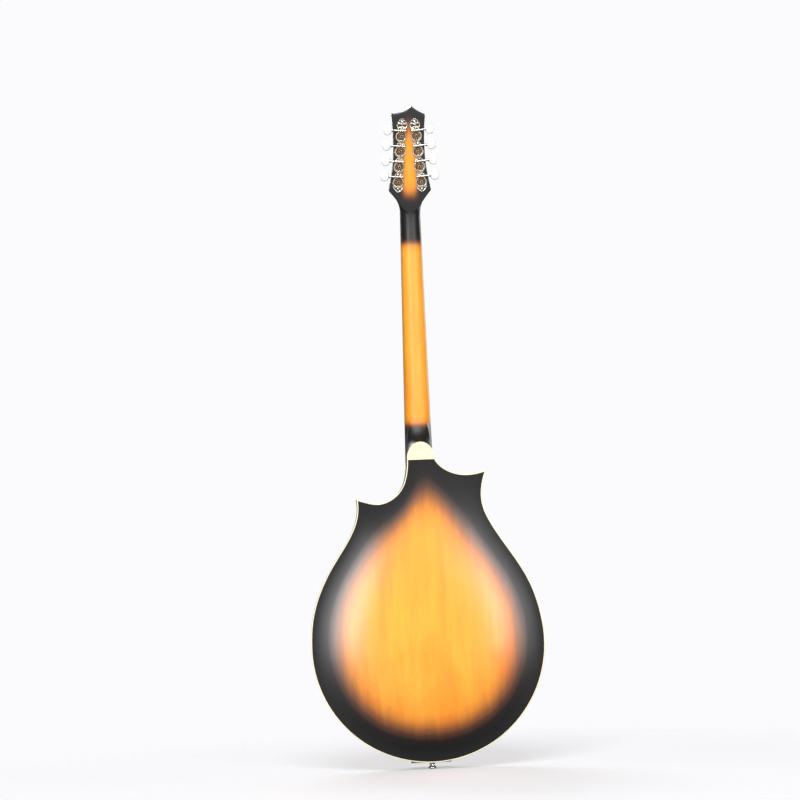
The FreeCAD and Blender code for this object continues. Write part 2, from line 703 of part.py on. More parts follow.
def tailpiece():
    plate = box((-28, -1.2, 0), (28, 0, 62))
    for x in (-28, 28):
        plate = plate.cut(rod(9, (x, -3, 66), (x, 3, 66)))
    hooks = []
    for number, radius, nut_x, saddle_x in string_list():
        spot = hook_spot(number, saddle_x)
        hooks.append(rod(HOOK_RADIUS, (spot.x, 0, spot.z), (spot.x, -4.4, spot.z)))
        hooks.append(rod(1.7, (spot.x, -4.4, spot.z), (spot.x, -5.0, spot.z)))
    plate = placed(fuse([plate] + hooks), tail_place())
    flange = box((-17, -EDGE_Y - 1.7, PIN_LENGTH - 1.2), (17, 9, PIN_LENGTH))
    base = fuse([plate, flange]).cut(rod(6.2, (0, 0, 0), (0, 0, PIN_LENGTH + 1)))
    screws = []
    for shank, (x, y) in zip(tail_screws(), TAIL_SCREWS):
        head = rod(2.6, (x, y, PIN_LENGTH - 2.2), (x, y, PIN_LENGTH - 1.2))
        slot = box((x - 3, y - 0.3, PIN_LENGTH - 2.3), (x + 3, y + 0.3, PIN_LENGTH - 1.7))
        base = base.cut(shank)
        screws.append(shank.fuse(head).removeSplitter().cut(slot))
    save("tailpiece_base", base)
    save("tailpiece_screws", *screws)
    shell = box((-30, -9.4, -1.8), (30, -0.3, 64))
    shell = shell.makeFillet(2.5, [edge for edge in shell.Edges if abs(edge.CenterOfMass.y + 9.4) < 0.01])
    inside = box((-29.2, -8.6, -1.0), (29.2, 1, 70))
    save("tailpiece_cover", placed(shell.cut(inside), tail_place()))


# ---- tuning machines ----------------------------------------------------------------------

def gear_and_post():
    """One string post with its gear and screw; the slots between the teeth are cut last."""
    bottom = SHAFT_DEPTH - GEAR_THICK / 2
    top = SHAFT_DEPTH + GEAR_THICK / 2
    gear = rod(GEAR_RADIUS, (0, bottom, 0), (0, top, 0))
    for tooth in range(GEAR_TEETH):
        turn = 2 * math.pi * tooth / GEAR_TEETH
        x = (GEAR_RADIUS + 0.15) * math.cos(turn)
        z = (GEAR_RADIUS + 0.15) * math.sin(turn)
        gear = gear.cut(rod(0.62, (x, bottom - 1, z), (x, top + 1, z)))
    gear = gear.cut(rod(1.6, (0, top - 1.0, 0), (0, top + 1, 0)))
    post = rod(POST_RADIUS, (0, POST_TOP, 0), (0, bottom, 0))
    post = post.cut(rod(0.9, (-5, -7.0, 0), (5, -7.0, 0)))
    screw = rod(2.5, (0, top, 0), (0, top + 1.2, 0))
    screw = screw.cut(box((-3, top + 0.5, -0.35), (3, top + 2, 0.35)))
    return [fuse([gear, post]), screw]


def worm():
    """A worm with its shaft and collar along x, and grooves that stand for its thread."""
    along = SHAFT_DEPTH
    rise = WORM_OFFSET
    barrel = rod(WORM_RADIUS, (-3.9, along, rise), (3.9, along, rise))
    for groove in range(5):
        x = -2.8 + 1.4 * groove
        ring = rod(WORM_RADIUS + 1, (x - 0.3, along, rise), (x + 0.3, along, rise))
        barrel = barrel.cut(ring.cut(rod(2.1, (x - 1, along, rise), (x + 1, along, rise))))
    shaft = rod(SHAFT_RADIUS, (-6.2, along, rise), (BUTTON_Q - BUTTON_LENGTH / 2 + 3, along, rise))
    collar = rod(2.5, (13.2, along, rise), (BUTTON_Q - BUTTON_LENGTH / 2, along, rise))
    return fuse([barrel, shaft, collar])


def button():
    """An oval button, flattened across and rounded all over."""
    ball = Part.makeSphere(1.0)
    shape = FreeCAD.Matrix()
    shape.scale(BUTTON_LENGTH / 2 * 1.12, BUTTON_THICK / 2, BUTTON_HEIGHT / 2)
    oval = ball.transformGeometry(shape)
    oval.translate(Vector(BUTTON_Q, SHAFT_DEPTH, WORM_OFFSET))
    low = BUTTON_Q - BUTTON_LENGTH / 2
    high = BUTTON_Q + BUTTON_LENGTH / 2
    oval = oval.common(box((low, 0, -10), (high, 40, 30)))
    return oval.cut(rod(SHAFT_RADIUS, (0, SHAFT_DEPTH, WORM_OFFSET), (low + 3, SHAFT_DEPTH, WORM_OFFSET)))


def tuner_plate(side):
    """The strip that carries four tuners, with scalloped sides, fan ends and bearing lugs."""
    face = HEAD_THICK
    outer = face + TUNER_PLATE_THICK
    pieces = []
    lugs = []
    spans = [(row - (TUNER_ROWS - 1) / 2) * TUNER_PITCH for row in range(TUNER_ROWS)]
    pieces.append(box((-4.0, face, -46), (4.0, outer, 52)))
    for along in spans:
        pieces.append(rod(8.4, (0.4, face, along - 1.4), (0.4, outer, along - 1.4)))
        pieces.append(rod(6.5, (0.2, face, along + 7.6), (0.2, outer, along + 7.6)))
        for x in (-5.5, 4.3):
            lugs.append(box((x, face, along + WORM_OFFSET - 2.6), (x + 1.2, SHAFT_DEPTH + 2.6, along + WORM_OFFSET + 2.6)))
    for tip, aim in ((60.0, 1), (-50.5, -1)):
        fan = rod(8.0, (0, face, tip - aim * 9.6), (0, outer, tip - aim * 9.6))
        crown = rod(4.6, (0, face, tip - aim * 4.6), (0, outer, tip - aim * 4.6))
        pieces += [fan, crown]
    plate = fuse(pieces + lugs)
    for along in spans:
        plate = plate.cut(rod(POST_RADIUS + RUNNING_GAP, (0, face - 1, along), (0, outer + 1, along)))
        rise = along + WORM_OFFSET
        plate = plate.cut(rod(SHAFT_RADIUS + RUNNING_GAP, (-8, SHAFT_DEPTH, rise), (8, SHAFT_DEPTH, rise)))
    for spot in PLATE_SCREWS:
        plate = plate.cut(rod(1.1, (0, face - 1, spot), (0, outer + 1, spot)))
    if side < 0:
        plate = plate.mirror(Vector(0, 0, 0), Vector(1, 0, 0))
    return placed(plate, plate_place(side))


def slotted_screw(start, inward, head_radius, shank_radius, length):
    """A domed screw head with a slot; inward is +1 when its shank runs towards +y."""
    x, y, s = start
    head = Part.makeSphere(head_radius * 1.25, Vector(x, y + inward * head_radius * 0.75, s))
    out = sorted((y, y - inward * head_radius))
    head = head.common(box((x - 4, out[0], s - 4), (x + 4, out[1], s + 4)))
    body = rod(shank_radius, start, (x, y + inward * length, s))
    slot = sorted((y - inward * head_radius * 0.25, y - inward * head_radius))
    return head.fuse(body).removeSplitter().cut(box((x - 4, slot[0], s - 0.25), (x + 4, slot[1], s + 0.25)))


def tuning_machines():
    for name, side in (("bass", -1), ("treble", 1)):
        save("tuner_plate_" + name, tuner_plate(side))
    screws = []
    for place, start, inward, head, shank, length in head_screws():
        screws.append(placed(slotted_screw(start, inward, head, shank, length), place))
    save("headstock_screws", *screws)
    for number, side, place in tuner_posts():
        parts = gear_and_post()
        save("string_post_%d" % number, *[placed(part, place) for part in parts])
        for name, part in (("tuner_worm_%d", worm()), ("tuner_button_%d", button())):
            if side < 0:
                part = part.mirror(Vector(0, 0, 0), Vector(1, 0, 0))
            save(name % number, placed(part, place))


# ---- assembly -----------------------------------------------------------------------------

def main():
    os.makedirs("parts", exist_ok=True)
    film = membrane()
    grid = arch_grid(film, TOP_FULLNESS)
    back_grid = arch_grid(film, BACK_FULLNESS)
    ribs()
    bindings()
    blocks_and_linings()
    plates(grid, back_grid)
    end_pin()
    neck_wood = neck(under_arch(grid, -1, EDGE_Y))
    heel_cap()
    fingerboard_and_frets()
    headstock_front(neck_wood)
    truss_rod()
    strings()
    nut()
    bridge(grid)
    tailpiece()
    tuning_machines()


main()
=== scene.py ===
import json
import math

import bmesh
import bpy
import numpy as np
from mathutils import Matrix, Vector
from mathutils.geometry import delaunay_2d_cdt


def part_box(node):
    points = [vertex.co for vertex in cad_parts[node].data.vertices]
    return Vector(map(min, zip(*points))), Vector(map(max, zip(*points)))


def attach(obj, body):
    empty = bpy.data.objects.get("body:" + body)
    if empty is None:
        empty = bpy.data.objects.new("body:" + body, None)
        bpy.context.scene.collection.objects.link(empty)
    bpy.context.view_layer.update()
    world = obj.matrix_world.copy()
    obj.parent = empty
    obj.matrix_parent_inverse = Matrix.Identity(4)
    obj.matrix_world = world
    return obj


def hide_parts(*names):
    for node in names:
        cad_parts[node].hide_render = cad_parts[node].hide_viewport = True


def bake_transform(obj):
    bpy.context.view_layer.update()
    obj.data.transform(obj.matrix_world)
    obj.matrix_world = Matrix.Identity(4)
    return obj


# The looks of a long-necked eight-string mandolin, seen from its arched back.
# Metres throughout. +Z runs up the neck, the strings face -Y, the back faces +Y, the treble side is +X.

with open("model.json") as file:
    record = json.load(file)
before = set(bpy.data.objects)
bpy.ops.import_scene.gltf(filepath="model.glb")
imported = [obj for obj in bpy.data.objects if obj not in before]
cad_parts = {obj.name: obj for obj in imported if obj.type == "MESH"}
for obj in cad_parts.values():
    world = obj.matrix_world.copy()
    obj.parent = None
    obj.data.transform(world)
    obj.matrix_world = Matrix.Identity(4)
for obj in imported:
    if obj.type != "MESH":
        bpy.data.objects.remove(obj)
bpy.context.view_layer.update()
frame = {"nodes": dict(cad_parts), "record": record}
nodes = frame["nodes"]

SLOTS = {part["node"]: part["material_slot"] for part in frame["record"]["subparts"]}

# ---- sizes ----

MM = 0.001
JOINT_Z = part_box("heel_cap")[0].z
EDGE_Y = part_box("back_binding")[1].y
RIB_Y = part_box("back_binding")[0].y
BINDING = 1.5 * MM
ARCH_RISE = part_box("back_plate")[1].y - EDGE_Y
TOP_FULLNESS = 0.75  # the smaller it is, the nearer to the edge the arching starts to rise
BACK_FULLNESS = 1.05
PLATE_THICK = 4.7 * MM
FILM_STEP = 2.5 * MM
FILM_SWEEPS = 500
PLATE_STEP = 4.0 * MM
ROW_SHARE = 0.866  # the height of an even triangle over its side

# Names that end in S are distances up the neck from the body joint, or up the headstock from the nut.
SCALE_LENGTH = 635.0 * MM
CLEAR_FRETS = 15
NECK_ANGLE = math.radians(5.0)
HEAD_ANGLE = math.radians(14.0)
TAIL_TILT = math.radians(13.0)
BOARD_Y = -36.0 * MM
BOARD_THICK = 6.0 * MM
NUT_S = SCALE_LENGTH * (1 - 2 ** (-CLEAR_FRETS / 12))
BRIDGE_S = NUT_S - SCALE_LENGTH
PIN_LENGTH = 10.5 * MM
POST_RADIUS = 3.0 * MM
HOOK_RADIUS = 1.1 * MM
HOOK_HEIGHT = 52.0 * MM
HOOK_STEP = 9.0 * MM
FLOOR_RADIUS = 1.2

# In degrees: how sharp an edge is rounded over, and how sharp one still shows as a crease after that.
BEVEL_ANGLE = 32
CREASE_ANGLE = 28

# Sound holes, in millimetres from the centre line and from the bridge: the middle of the slot, half
# its width there, and a round eye at each end as x, z and radius.
SLOT_LINE = ((58, 62), (68, 52), (72, 28), (75, 0), (78, -28), (83, -50), (94, -58))
SLOT_HALF_WIDTHS = (1.0, 2.6, 3.6, 4.2, 3.6, 2.6, 1.0)
UPPER_EYE = (58, 57, 5.0)
LOWER_EYE = (94, -52, 7.0)

# Tuning machines, in millimetres, with their splay in degrees.
TUNER_PITCH = 23.0
TUNER_MIDDLE_S = 88.5
TUNER_MIDDLE_X = 13.8
TUNER_SPLAY = 5.1
TUNER_ROWS = 4
WORM_OFFSET = 7.9
SHAFT_DEPTH = 19.6
POST_TOP = -10.0
HEAD_DEPTH = 15.0
GEAR_TEETH = 15
THREAD_PITCH = 1.4
THREAD_HALF_LENGTH = 3.9
SHAFT_HOLE = 1.58
PLATE_TIPS = ((60.0, 1), (-50.5, -1))
BUTTON_REACH = 21.2
BUTTON_LENGTH = 12.4
BUTTON_HEIGHT = 15.8
BUTTON_THICK = 9.0

# Courses across the nut and the saddle, bass first, with each string's radius.
NUT_COURSES = (-11.1 * MM, -3.7 * MM, 3.7 * MM, 11.1 * MM)
SADDLE_COURSES = (-20.4 * MM, -6.8 * MM, 6.8 * MM, 20.4 * MM)
COURSE_RADII = (0.58 * MM, 0.41 * MM, 0.28 * MM, 0.18 * MM)
NUT_PAIR = 2.6 * MM
SADDLE_PAIR = 3.6 * MM
COIL_TURNS = 3

# Where the burst value stands for black, and how much further it goes in the deepest amber.
BLACK = 0.2
NECK_AMBER = 0.62
HEAD_AMBER = 0.5
SIDE_AMBER = 0.34


def tilted(origin, angle):
    """A frame that leans back about X by angle, with its origin at a point."""
    return Matrix.Translation(origin) @ Matrix.Rotation(angle, 4, "X")


NECK = tilted((0, BOARD_Y, JOINT_Z), -NECK_ANGLE)
HEAD = tilted(NECK @ Vector((0, BOARD_THICK, NUT_S)), -NECK_ANGLE - HEAD_ANGLE)
UPWARDS = Matrix.Rotation(math.radians(-90), 4, "X")
OUTWARDS = Matrix.Rotation(math.radians(90), 4, "Y")
SIDEWAYS = Matrix(((0, 1, 0, 0), (0, 0, 1, 0), (1, 0, 0, 0), (0, 0, 0, 1)))
GEAR_PLACES = [(row - (TUNER_ROWS - 1) / 2) * TUNER_PITCH for row in range(TUNER_ROWS)]


# ---- painting ----

def srgb(red, green, blue):
    """A display colour from 0 to 255 as the linear colour that shaders use."""
    linear = []
    for value in (red, green, blue):
        share = value / 255
        linear.append(share / 12.92 if share <= 0.04045 else ((share + 0.055) / 1.055) ** 2.4)
    return (*linear, 1.0)


class Paint:
    """A material, with short ways to add the nodes that feed its shader."""

    def __init__(self, name, **fixed):
        self.material = bpy.data.materials.new(name)
        self.material.use_nodes = True
        self.tree = self.material.node_tree
        self.shader = self.tree.nodes["Principled BSDF"]
        for socket, value in fixed.items():
            self.shader.inputs[socket.replace("_", " ")].default_value = value
        self.place = self.add("ShaderNodeTexCoord").outputs["Object"]

    def add(self, kind, inputs=(), **settings):
        node = self.tree.nodes.new(kind)
        for key, value in settings.items():
            setattr(node, key, value)
        for socket, value in dict(inputs).items():
            self.plug(node.inputs[socket], value)
        return node

    def plug(self, socket, value):
        if isinstance(value, bpy.types.NodeSocket):
            self.tree.links.new(value, socket)
        else:
            socket.default_value = value

    def feed(self, socket, value):
        self.plug(self.shader.inputs[socket], value)

    def math(self, operation, a, b=0.0, clamp=False):
        node = self.add("ShaderNodeMath", operation=operation, use_clamp=clamp)
        self.plug(node.inputs[0], a)
        self.plug(node.inputs[1], b)
        return node.outputs[0]

    def fade(self, value, low, high):
        """0 below low and 1 above high, with a smooth change between them; low may be the larger."""
        limits = {"Value": value, "From Min": low, "From Max": high}
        return self.add("ShaderNodeMapRange", limits, interpolation_type="SMOOTHSTEP").outputs["Result"]

    def along(self, direction, offset=0.0):
        """How far a point lies along a direction, past an offset."""
        dot = self.add("ShaderNodeVectorMath", operation="DOT_PRODUCT")
        self.plug(dot.inputs[0], self.place)
        self.plug(dot.inputs[1], tuple(direction))
        return self.math("SUBTRACT", dot.outputs["Value"], offset)

    def noise(self, scale, stretch=(1, 1, 1), detail=2.0, roughness=0.5, shift=(0, 0, 0)):
        settings = {"Vector": self.place, "Scale": stretch, "Location": shift}
        spot = self.add("ShaderNodeMapping", settings).outputs["Vector"]
        inputs = {"Vector": spot, "Scale": scale, "Detail": detail, "Roughness": roughness}
        return self.add("ShaderNodeTexNoise", inputs).outputs["Fac"]

    def ramp(self, factor, stops):
        node = self.add("ShaderNodeValToRGB", {"Fac": factor})
        elements = node.color_ramp.elements
        while len(elements) < len(stops):
            elements.new(0.5)
        for element, (position, colour) in zip(elements, stops):
            element.position = position
            element.color = colour
        return node.outputs["Color"]

    def mix(self, factor, a, b, blend="MIX"):
        node = self.add("ShaderNodeMix", data_type="RGBA", blend_type=blend)
        self.plug(node.inputs["Factor"], factor)
        self.plug(node.inputs["A"], a)
        self.plug(node.inputs["B"], b)
        return node.outputs["Result"]

    def tone(self, colour, noise, darkest, lightest):
        """The colour made darker and lighter by a noise."""
        return self.mix(1.0, colour, self.spread(noise, darkest, lightest), "MULTIPLY")

    def spread(self, noise, low, high):
        """A noise stretched to run from low to high."""
        limits = {"Value": noise, "From Min": 0.25, "From Max": 0.75, "To Min": low, "To Max": high}
        return self.add("ShaderNodeMapRange", limits).outputs["Result"]

    def held(self, attribute):
        """A value that the mesh carries at its vertices."""
        return self.add("ShaderNodeAttribute", attribute_name=attribute).outputs["Fac"]

    def bump(self, height, distance, strength=1.0):
        node = self.add("ShaderNodeBump", {"Height": height, "Distance": distance, "Strength": strength})
        self.feed("Normal", node.outputs["Normal"])

    def rough(self, noise, low, high):
        self.feed("Roughness", self.spread(noise, low, high))


BURST = ((0.20, srgb(10, 8, 9)), (0.29, srgb(24, 15, 12)), (0.36, srgb(78, 42, 20)),
         (0.43, srgb(140, 80, 30)), (0.51, srgb(206, 122, 32)), (0.60, srgb(238, 148, 36)),
         (0.75, srgb(246, 162, 40)), (1.0, srgb(247, 172, 46)))


def grain_of(paint, direction):
    """Fine and broad streaks that run along one axis of the object."""
    fine = [1.0, 1.0, 1.0]
    broad = [1.0, 1.0, 1.0]
    fine["xyz".index(direction)] = 0.02
    broad["xyz".index(direction)] = 0.07
    return paint.noise(1400, fine, 3.0), paint.noise(90, broad, 3.0, 0.6)


def stained(name, burst, paint=None, rough=(0.36, 0.46), direction="z"):
    """Clear-coated maple, stained from black through brown to amber by a burst value."""
    paint = paint or Paint(name)
    fine, broad = grain_of(paint, direction)
    patch = paint.noise(14, (1.0, 1.0, 0.45), 3.0, 0.55, (3.1, 0.4, 1.7))
    wander = paint.math("MULTIPLY", paint.math("SUBTRACT", broad, 0.5), 0.025)
    colour = paint.ramp(paint.math("ADD", burst, wander), BURST)
    colour = paint.tone(colour, fine, 0.90, 1.05)
    colour = paint.tone(colour, broad, 0.86, 1.08)
    redder = paint.mix(1.0, colour, (1.0, 0.84, 0.6, 1.0), "MULTIPLY")
    colour = paint.mix(paint.fade(patch, 0.50, 0.66), colour, redder)
    paint.feed("Base Color", colour)
    paint.rough(paint.noise(55, detail=4.0), *rough)
    paint.bump(fine, 0.02 * MM, 0.35)
    return paint


def back_paint():
    """The stained back, with glossier lacquer over the amber and a seam between its two halves."""
    paint = Paint("back_maple", Coat_Roughness=0.27, Specular_IOR_Level=0.15)
    burst = paint.held("burst")
    thin = paint.fade(burst, 0.24, 0.42)
    paint.feed("Coat Weight", paint.math("ADD", 0.35, paint.math("MULTIPLY", thin, 0.65)))
    stained("back_maple", burst, paint, (0.42, 0.5))
    seam = paint.math("ABSOLUTE", paint.along((1, 0, 0)))
    colour = paint.shader.inputs["Base Color"].links[0].from_socket
    cooler = paint.mix(1.0, colour, (0.97, 1.0, 1.06, 1.0), "MULTIPLY")
    colour = paint.mix(paint.math("GREATER_THAN", paint.along((1, 0, 0)), 0.0), colour, cooler)
    darker = paint.mix(1.0, colour, (0.86, 0.80, 0.74, 1.0), "MULTIPLY")
    paint.feed("Base Color", paint.mix(paint.fade(seam, 0.35 * MM, 0.1 * MM), colour, darker))
    return paint.material


def top_paint():
    """The stained spruce top, with the dark lines of its late wood."""
    paint = Paint("top_spruce", Coat_Weight=0.25, Coat_Roughness=0.3)
    burst = paint.held("burst")
    stained("top_spruce", burst, paint, (0.34, 0.42))
    wave = {"Vector": paint.place, "Scale": 260, "Distortion": 1.2, "Detail": 2.0, "Detail Scale": 0.4}
    ring = paint.add("ShaderNodeTexWave", wave, bands_direction="X").outputs["Fac"]
    colour = paint.shader.inputs["Base Color"].links[0].from_socket
    late = paint.mix(1.0, colour, (0.80, 0.70, 0.58, 1.0), "MULTIPLY")
    paint.feed("Base Color", paint.mix(paint.fade(ring, 0.75, 1.0), colour, late))
    return paint.material


def side_paint():
    """Brown along the middle of the ribs, black at their edges and beside the neck."""
    paint = Paint("side_maple", Coat_Weight=0.3, Coat_Roughness=0.2)
    depth = paint.math("ABSOLUTE", paint.along((0, 1, 0)))
    across = paint.fade(depth, 21.5 * MM, 4.0 * MM)
    high = paint.fade(paint.along((0, 0, 1)), JOINT_Z - 60 * MM, JOINT_Z - 150 * MM)
    burst = paint.math("MULTIPLY", paint.math("MULTIPLY", across, high), SIDE_AMBER)
    burst = paint.math("ADD", BLACK, burst)
    return stained("side_maple", burst, paint, (0.28, 0.36), "x").material


def neck_paint():
    """Amber along the neck and the middle of the headstock, black at both ends and on the edges."""
    paint = Paint("neck_maple", Coat_Weight=0.35, Coat_Roughness=0.5, Specular_IOR_Level=0.4)
    shaft_axis = NECK.to_3x3() @ Vector((0, 0, 1))
    head_axis = HEAD.to_3x3() @ Vector((0, 0, 1))
    s = paint.along(shaft_axis, shaft_axis.dot(NECK.translation))
    h = paint.along(head_axis, head_axis.dot(HEAD.translation))
    aside = paint.math("ABSOLUTE", paint.along((1, 0, 0)))
    shaft = paint.math("MULTIPLY", paint.fade(s, 40 * MM, 74 * MM), paint.fade(s, 342 * MM, 304 * MM))
    shaft = paint.math("MULTIPLY", shaft, NECK_AMBER)
    head = paint.math("MULTIPLY", paint.fade(h, 8 * MM, 60 * MM), paint.fade(h, 176 * MM, 96 * MM))
    edge = paint.math("ADD", aside, paint.math("MULTIPLY", h, 0.05))
    head = paint.math("MULTIPLY", head, paint.fade(edge, 24 * MM, 5 * MM))
    head = paint.math("MULTIPLY", head, HEAD_AMBER)
    burst = paint.math("ADD", BLACK, paint.math("MAXIMUM", shaft, head))
    return stained("neck_maple", burst, paint, (0.4, 0.5)).material


def wood_paint(name, dark, light, rough, pores=0.0):
    """Unlacquered or oiled wood with streaks up the object, and dark pores where asked."""
    paint = Paint(name)
    fine, broad = grain_of(paint, "z")
    colour = paint.mix(paint.fade(broad, 0.3, 0.7), dark, light)
    colour = paint.tone(colour, fine, 0.82, 1.1)
    if pores:
        pore = paint.noise(2600, (1.0, 1.0, 0.035), 1.0)
        colour = paint.mix(paint.fade(pore, 0.62, 0.72), colour, (0.004, 0.003, 0.002, 1.0))
        paint.bump(pore, -0.04 * MM, pores)
    else:
        paint.bump(fine, 0.03 * MM, 0.4)
    paint.feed("Base Color", colour)
    paint.rough(broad, *rough)
    return paint.material


def plastic_paint(name, colour, rough, depth=0.0, swirl=0.0, coat=0.3):
    """Moulded or celluloid plastic: faint cloudiness, fine scuffs, and light inside it where asked."""
    paint = Paint(name, Coat_Weight=coat, Coat_Roughness=0.15, Subsurface_Weight=depth)
    paint.shader.inputs["Subsurface Radius"].default_value = (1.5 * MM, 1.1 * MM, 0.7 * MM)
    cloud = paint.noise(160, (1.0, 1.0, 0.35), 4.0, 0.6)
    tinted = paint.tone(colour, cloud, 1.0 - 0.05 - swirl, 1.0)
    paint.feed("Base Color", tinted)
    paint.rough(paint.noise(700, detail=3.0), *rough)
    paint.bump(paint.noise(420, detail=3.0), 0.012 * MM, 0.5)
    return paint.material


def metal_paint(name, bright, dull, rough, brushed=(1, 1, 1), scale=380):
    """Plated metal: cloudy tarnish between two colours, with fine wear lines."""
    paint = Paint(name, Metallic=1.0)
    tarnish = paint.noise(scale, detail=4.0, roughness=0.65)
    lines = paint.noise(2400, brushed, 2.0)
    # The vertex value darkens the colour towards dark brown: tarnish in the plates' engraving, and painted
    # shade round the gears, on the gear hubs and in the screw recesses.
    dirt_and_shade = paint.held("dirt_and_shade")
    colour = paint.mix(paint.fade(tarnish, 0.3, 0.75), bright, dull)
    paint.feed("Base Color", paint.mix(dirt_and_shade, colour, srgb(38, 26, 20)))
    worn = paint.math("ADD", paint.math("MULTIPLY", tarnish, 0.5), paint.math("MULTIPLY", lines, 0.5))
    paint.rough(worn, *rough)
    paint.bump(lines, 0.006 * MM, 0.5)
    return paint.material


def wound_paint():
    """Bronze winding over a steel core: fine close turns along the string, with painted shade between the
    turns.
    """
    paint = Paint("string_bronze", Metallic=1.0)
    wave = {"Vector": paint.place, "Scale": 620, "Distortion": 0.0}
    turns = paint.add("ShaderNodeTexWave", wave, bands_direction="Z").outputs["Fac"]
    tarnish = paint.noise(90, detail=3.0)
    colour = paint.mix(paint.fade(tarnish, 0.35, 0.7), srgb(214, 158, 96), srgb(150, 100, 60))
    # Painted shade in the grooves between the turns darkens the colour.
    paint.feed("Base Color", paint.tone(colour, turns, 0.6, 1.0))
    paint.rough(tarnish, 0.24, 0.38)
    paint.bump(turns, 0.05 * MM, 0.8)
    return paint.material


def pearl_paint():
    """Mother of pearl: soft bands between cool white, pink and green."""
    paint = Paint("pearl", Coat_Weight=0.6, Coat_Roughness=0.08)
    band = paint.noise(260, (1.0, 1.0, 0.4), 3.0, 0.6)
    stops = ((0.30, srgb(226, 232, 226)), (0.45, srgb(240, 222, 224)), (0.58, srgb(206, 226, 216)),
             (0.72, srgb(236, 238, 246)))
    paint.feed("Base Color", paint.ramp(band, stops))
    paint.rough(band, 0.14, 0.26)
    return paint.material


PAINTS = {
    "back_maple": back_paint(),
    "top_spruce": top_paint(),
    "side_maple": side_paint(),
    "neck_maple": neck_paint(),
    "inner_wood": wood_paint("inner_wood", srgb(196, 156, 104), srgb(222, 188, 138), (0.55, 0.7)),
    "cream_binding": plastic_paint("cream_binding", srgb(240, 229, 192), (0.28, 0.38), 0.15),
    "rosewood": wood_paint("rosewood", srgb(38, 22, 17), srgb(70, 42, 30), (0.36, 0.5), 0.6),
    "black_veneer": plastic_paint("black_veneer", srgb(12, 11, 12), (0.26, 0.34), 0.0, 0.1, 0.3),
    "black_plastic": plastic_paint("black_plastic", srgb(20, 20, 21), (0.22, 0.32), 0.0, 0.1, 0.5),
    "fret_wire": metal_paint("fret_wire", srgb(216, 210, 198), srgb(180, 172, 158), (0.16, 0.34),
                             brushed=(0.03, 1, 1)),
    "pearl": pearl_paint(),
    "pearl_button": plastic_paint("pearl_button", srgb(252, 250, 244), (0.16, 0.26), 0.3, 0.02, 0.6),
    "bone": plastic_paint("bone", srgb(240, 230, 204), (0.3, 0.42), 0.2, 0.03, 0.1),
    "rod_steel": metal_paint("rod_steel", srgb(160, 160, 162), srgb(96, 94, 92), (0.3, 0.5)),
    "nickel": metal_paint("nickel", srgb(236, 232, 225), srgb(222, 217, 208), (0.16, 0.26), scale=60),
    "plate_nickel": metal_paint("plate_nickel", srgb(238, 231, 218), srgb(186, 174, 156), (0.24, 0.42)),
    "gear_metal": metal_paint("gear_metal", srgb(222, 172, 108), srgb(150, 106, 64), (0.26, 0.42),
                              scale=520),
    "string_steel": metal_paint("string_steel", srgb(206, 206, 208), srgb(160, 158, 156), (0.16, 0.3),
                                scale=90),
    "string_bronze": wound_paint(),
}


# ---- mesh helpers ----

def placed(name, data):
    """A new object in the scene."""
    made = bpy.data.objects.new(name, data)
    bpy.context.scene.collection.objects.link(made)
    return made


def coated(mesh, slot):
    """Gives a mesh its slot's paint and smooth shading."""
    mesh.polygons.foreach_set("use_smooth", [True] * len(mesh.polygons))
    mesh.materials.clear()
    mesh.materials.append(PAINTS[slot])


def piece(name, vertices, faces, slot, body="instrument"):
    """A mesh object in its slot's paint that rides on a body."""
    mesh = bpy.data.meshes.new(name)
    mesh.from_pydata([tuple(v) for v in vertices], [], [tuple(int(i) for i in f) for f in faces])
    coated(mesh, slot)
    made = placed(name, mesh)
    if body:
        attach(made, body)
    return made


def carry(made, name, values):
    """Writes a value at each vertex for the paint: the burst value, or how much tarnish and painted shade
    lies there.
    """
    attribute = made.data.attributes.new(name, "FLOAT", "POINT")
    attribute.data.foreach_set("value", np.asarray(values, np.float32))


def sharpen(made, angle=35):
    """Keeps the edges crisp that turn by more than the angle, in degrees."""
    made.data.set_sharp_from_angle(angle=math.radians(angle))


def rim_loops(node, side):
    """The outer and inner outline of a ring's face towards side * Y, as (x, z), anticlockwise."""
    mesh = nodes[node].data
    spots = {}
    index = [spots.setdefault(tuple(round(c, 6) for c in v.co), len(spots)) for v in mesh.vertices]
    places = list(spots)
    seen = {}
    for face in mesh.polygons:
        if face.normal.y * side > 0.9:
            corners = [index[i] for i in face.vertices]
            for a, b in zip(corners, corners[1:] + corners[:1]):
                seen.setdefault(frozenset((a, b)), []).append((a, b))
    onward = {pairs[0][0]: pairs[0][1] for pairs in seen.values() if len(pairs) == 1}
    loops = []
    while onward:
        start, spot = onward.popitem()
        loop = [start]
        while spot != start:
            loop.append(spot)
            spot = onward.pop(spot)
        loops.append(np.array([(places[i][0], places[i][2]) for i in loop]))
    loops = [loop if area(loop) > 0 else loop[::-1] for loop in loops]
    return sorted(loops, key=area, reverse=True)[:2]


def area(loop):
    """The area inside a closed line, negative if it runs clockwise."""
    x, z = loop.T
    return 0.5 * float(np.sum(x * np.roll(z, -1) - np.roll(x, -1) * z))


def finer(loop, step):
    """The same closed line with its long stretches divided."""
    spots = []
    for a, b in zip(loop, np.roll(loop, -1, axis=0)):
        parts = max(1, math.ceil(float(np.linalg.norm(b - a)) / step))
        spots += [a + (b - a) * i / parts for i in range(parts)]
    return np.array(spots)


def inside(points, loop):
    """Which points lie inside a closed line."""
    found = np.zeros(len(points), bool)
    for (ax, az), (bx, bz) in zip(loop, np.roll(loop, -1, axis=0)):
        if az != bz:
            crosses = (points[:, 1] < az) != (points[:, 1] < bz)
            found ^= crosses & (points[:, 0] < ax + (points[:, 1] - az) * (bx - ax) / (bz - az))
    return found


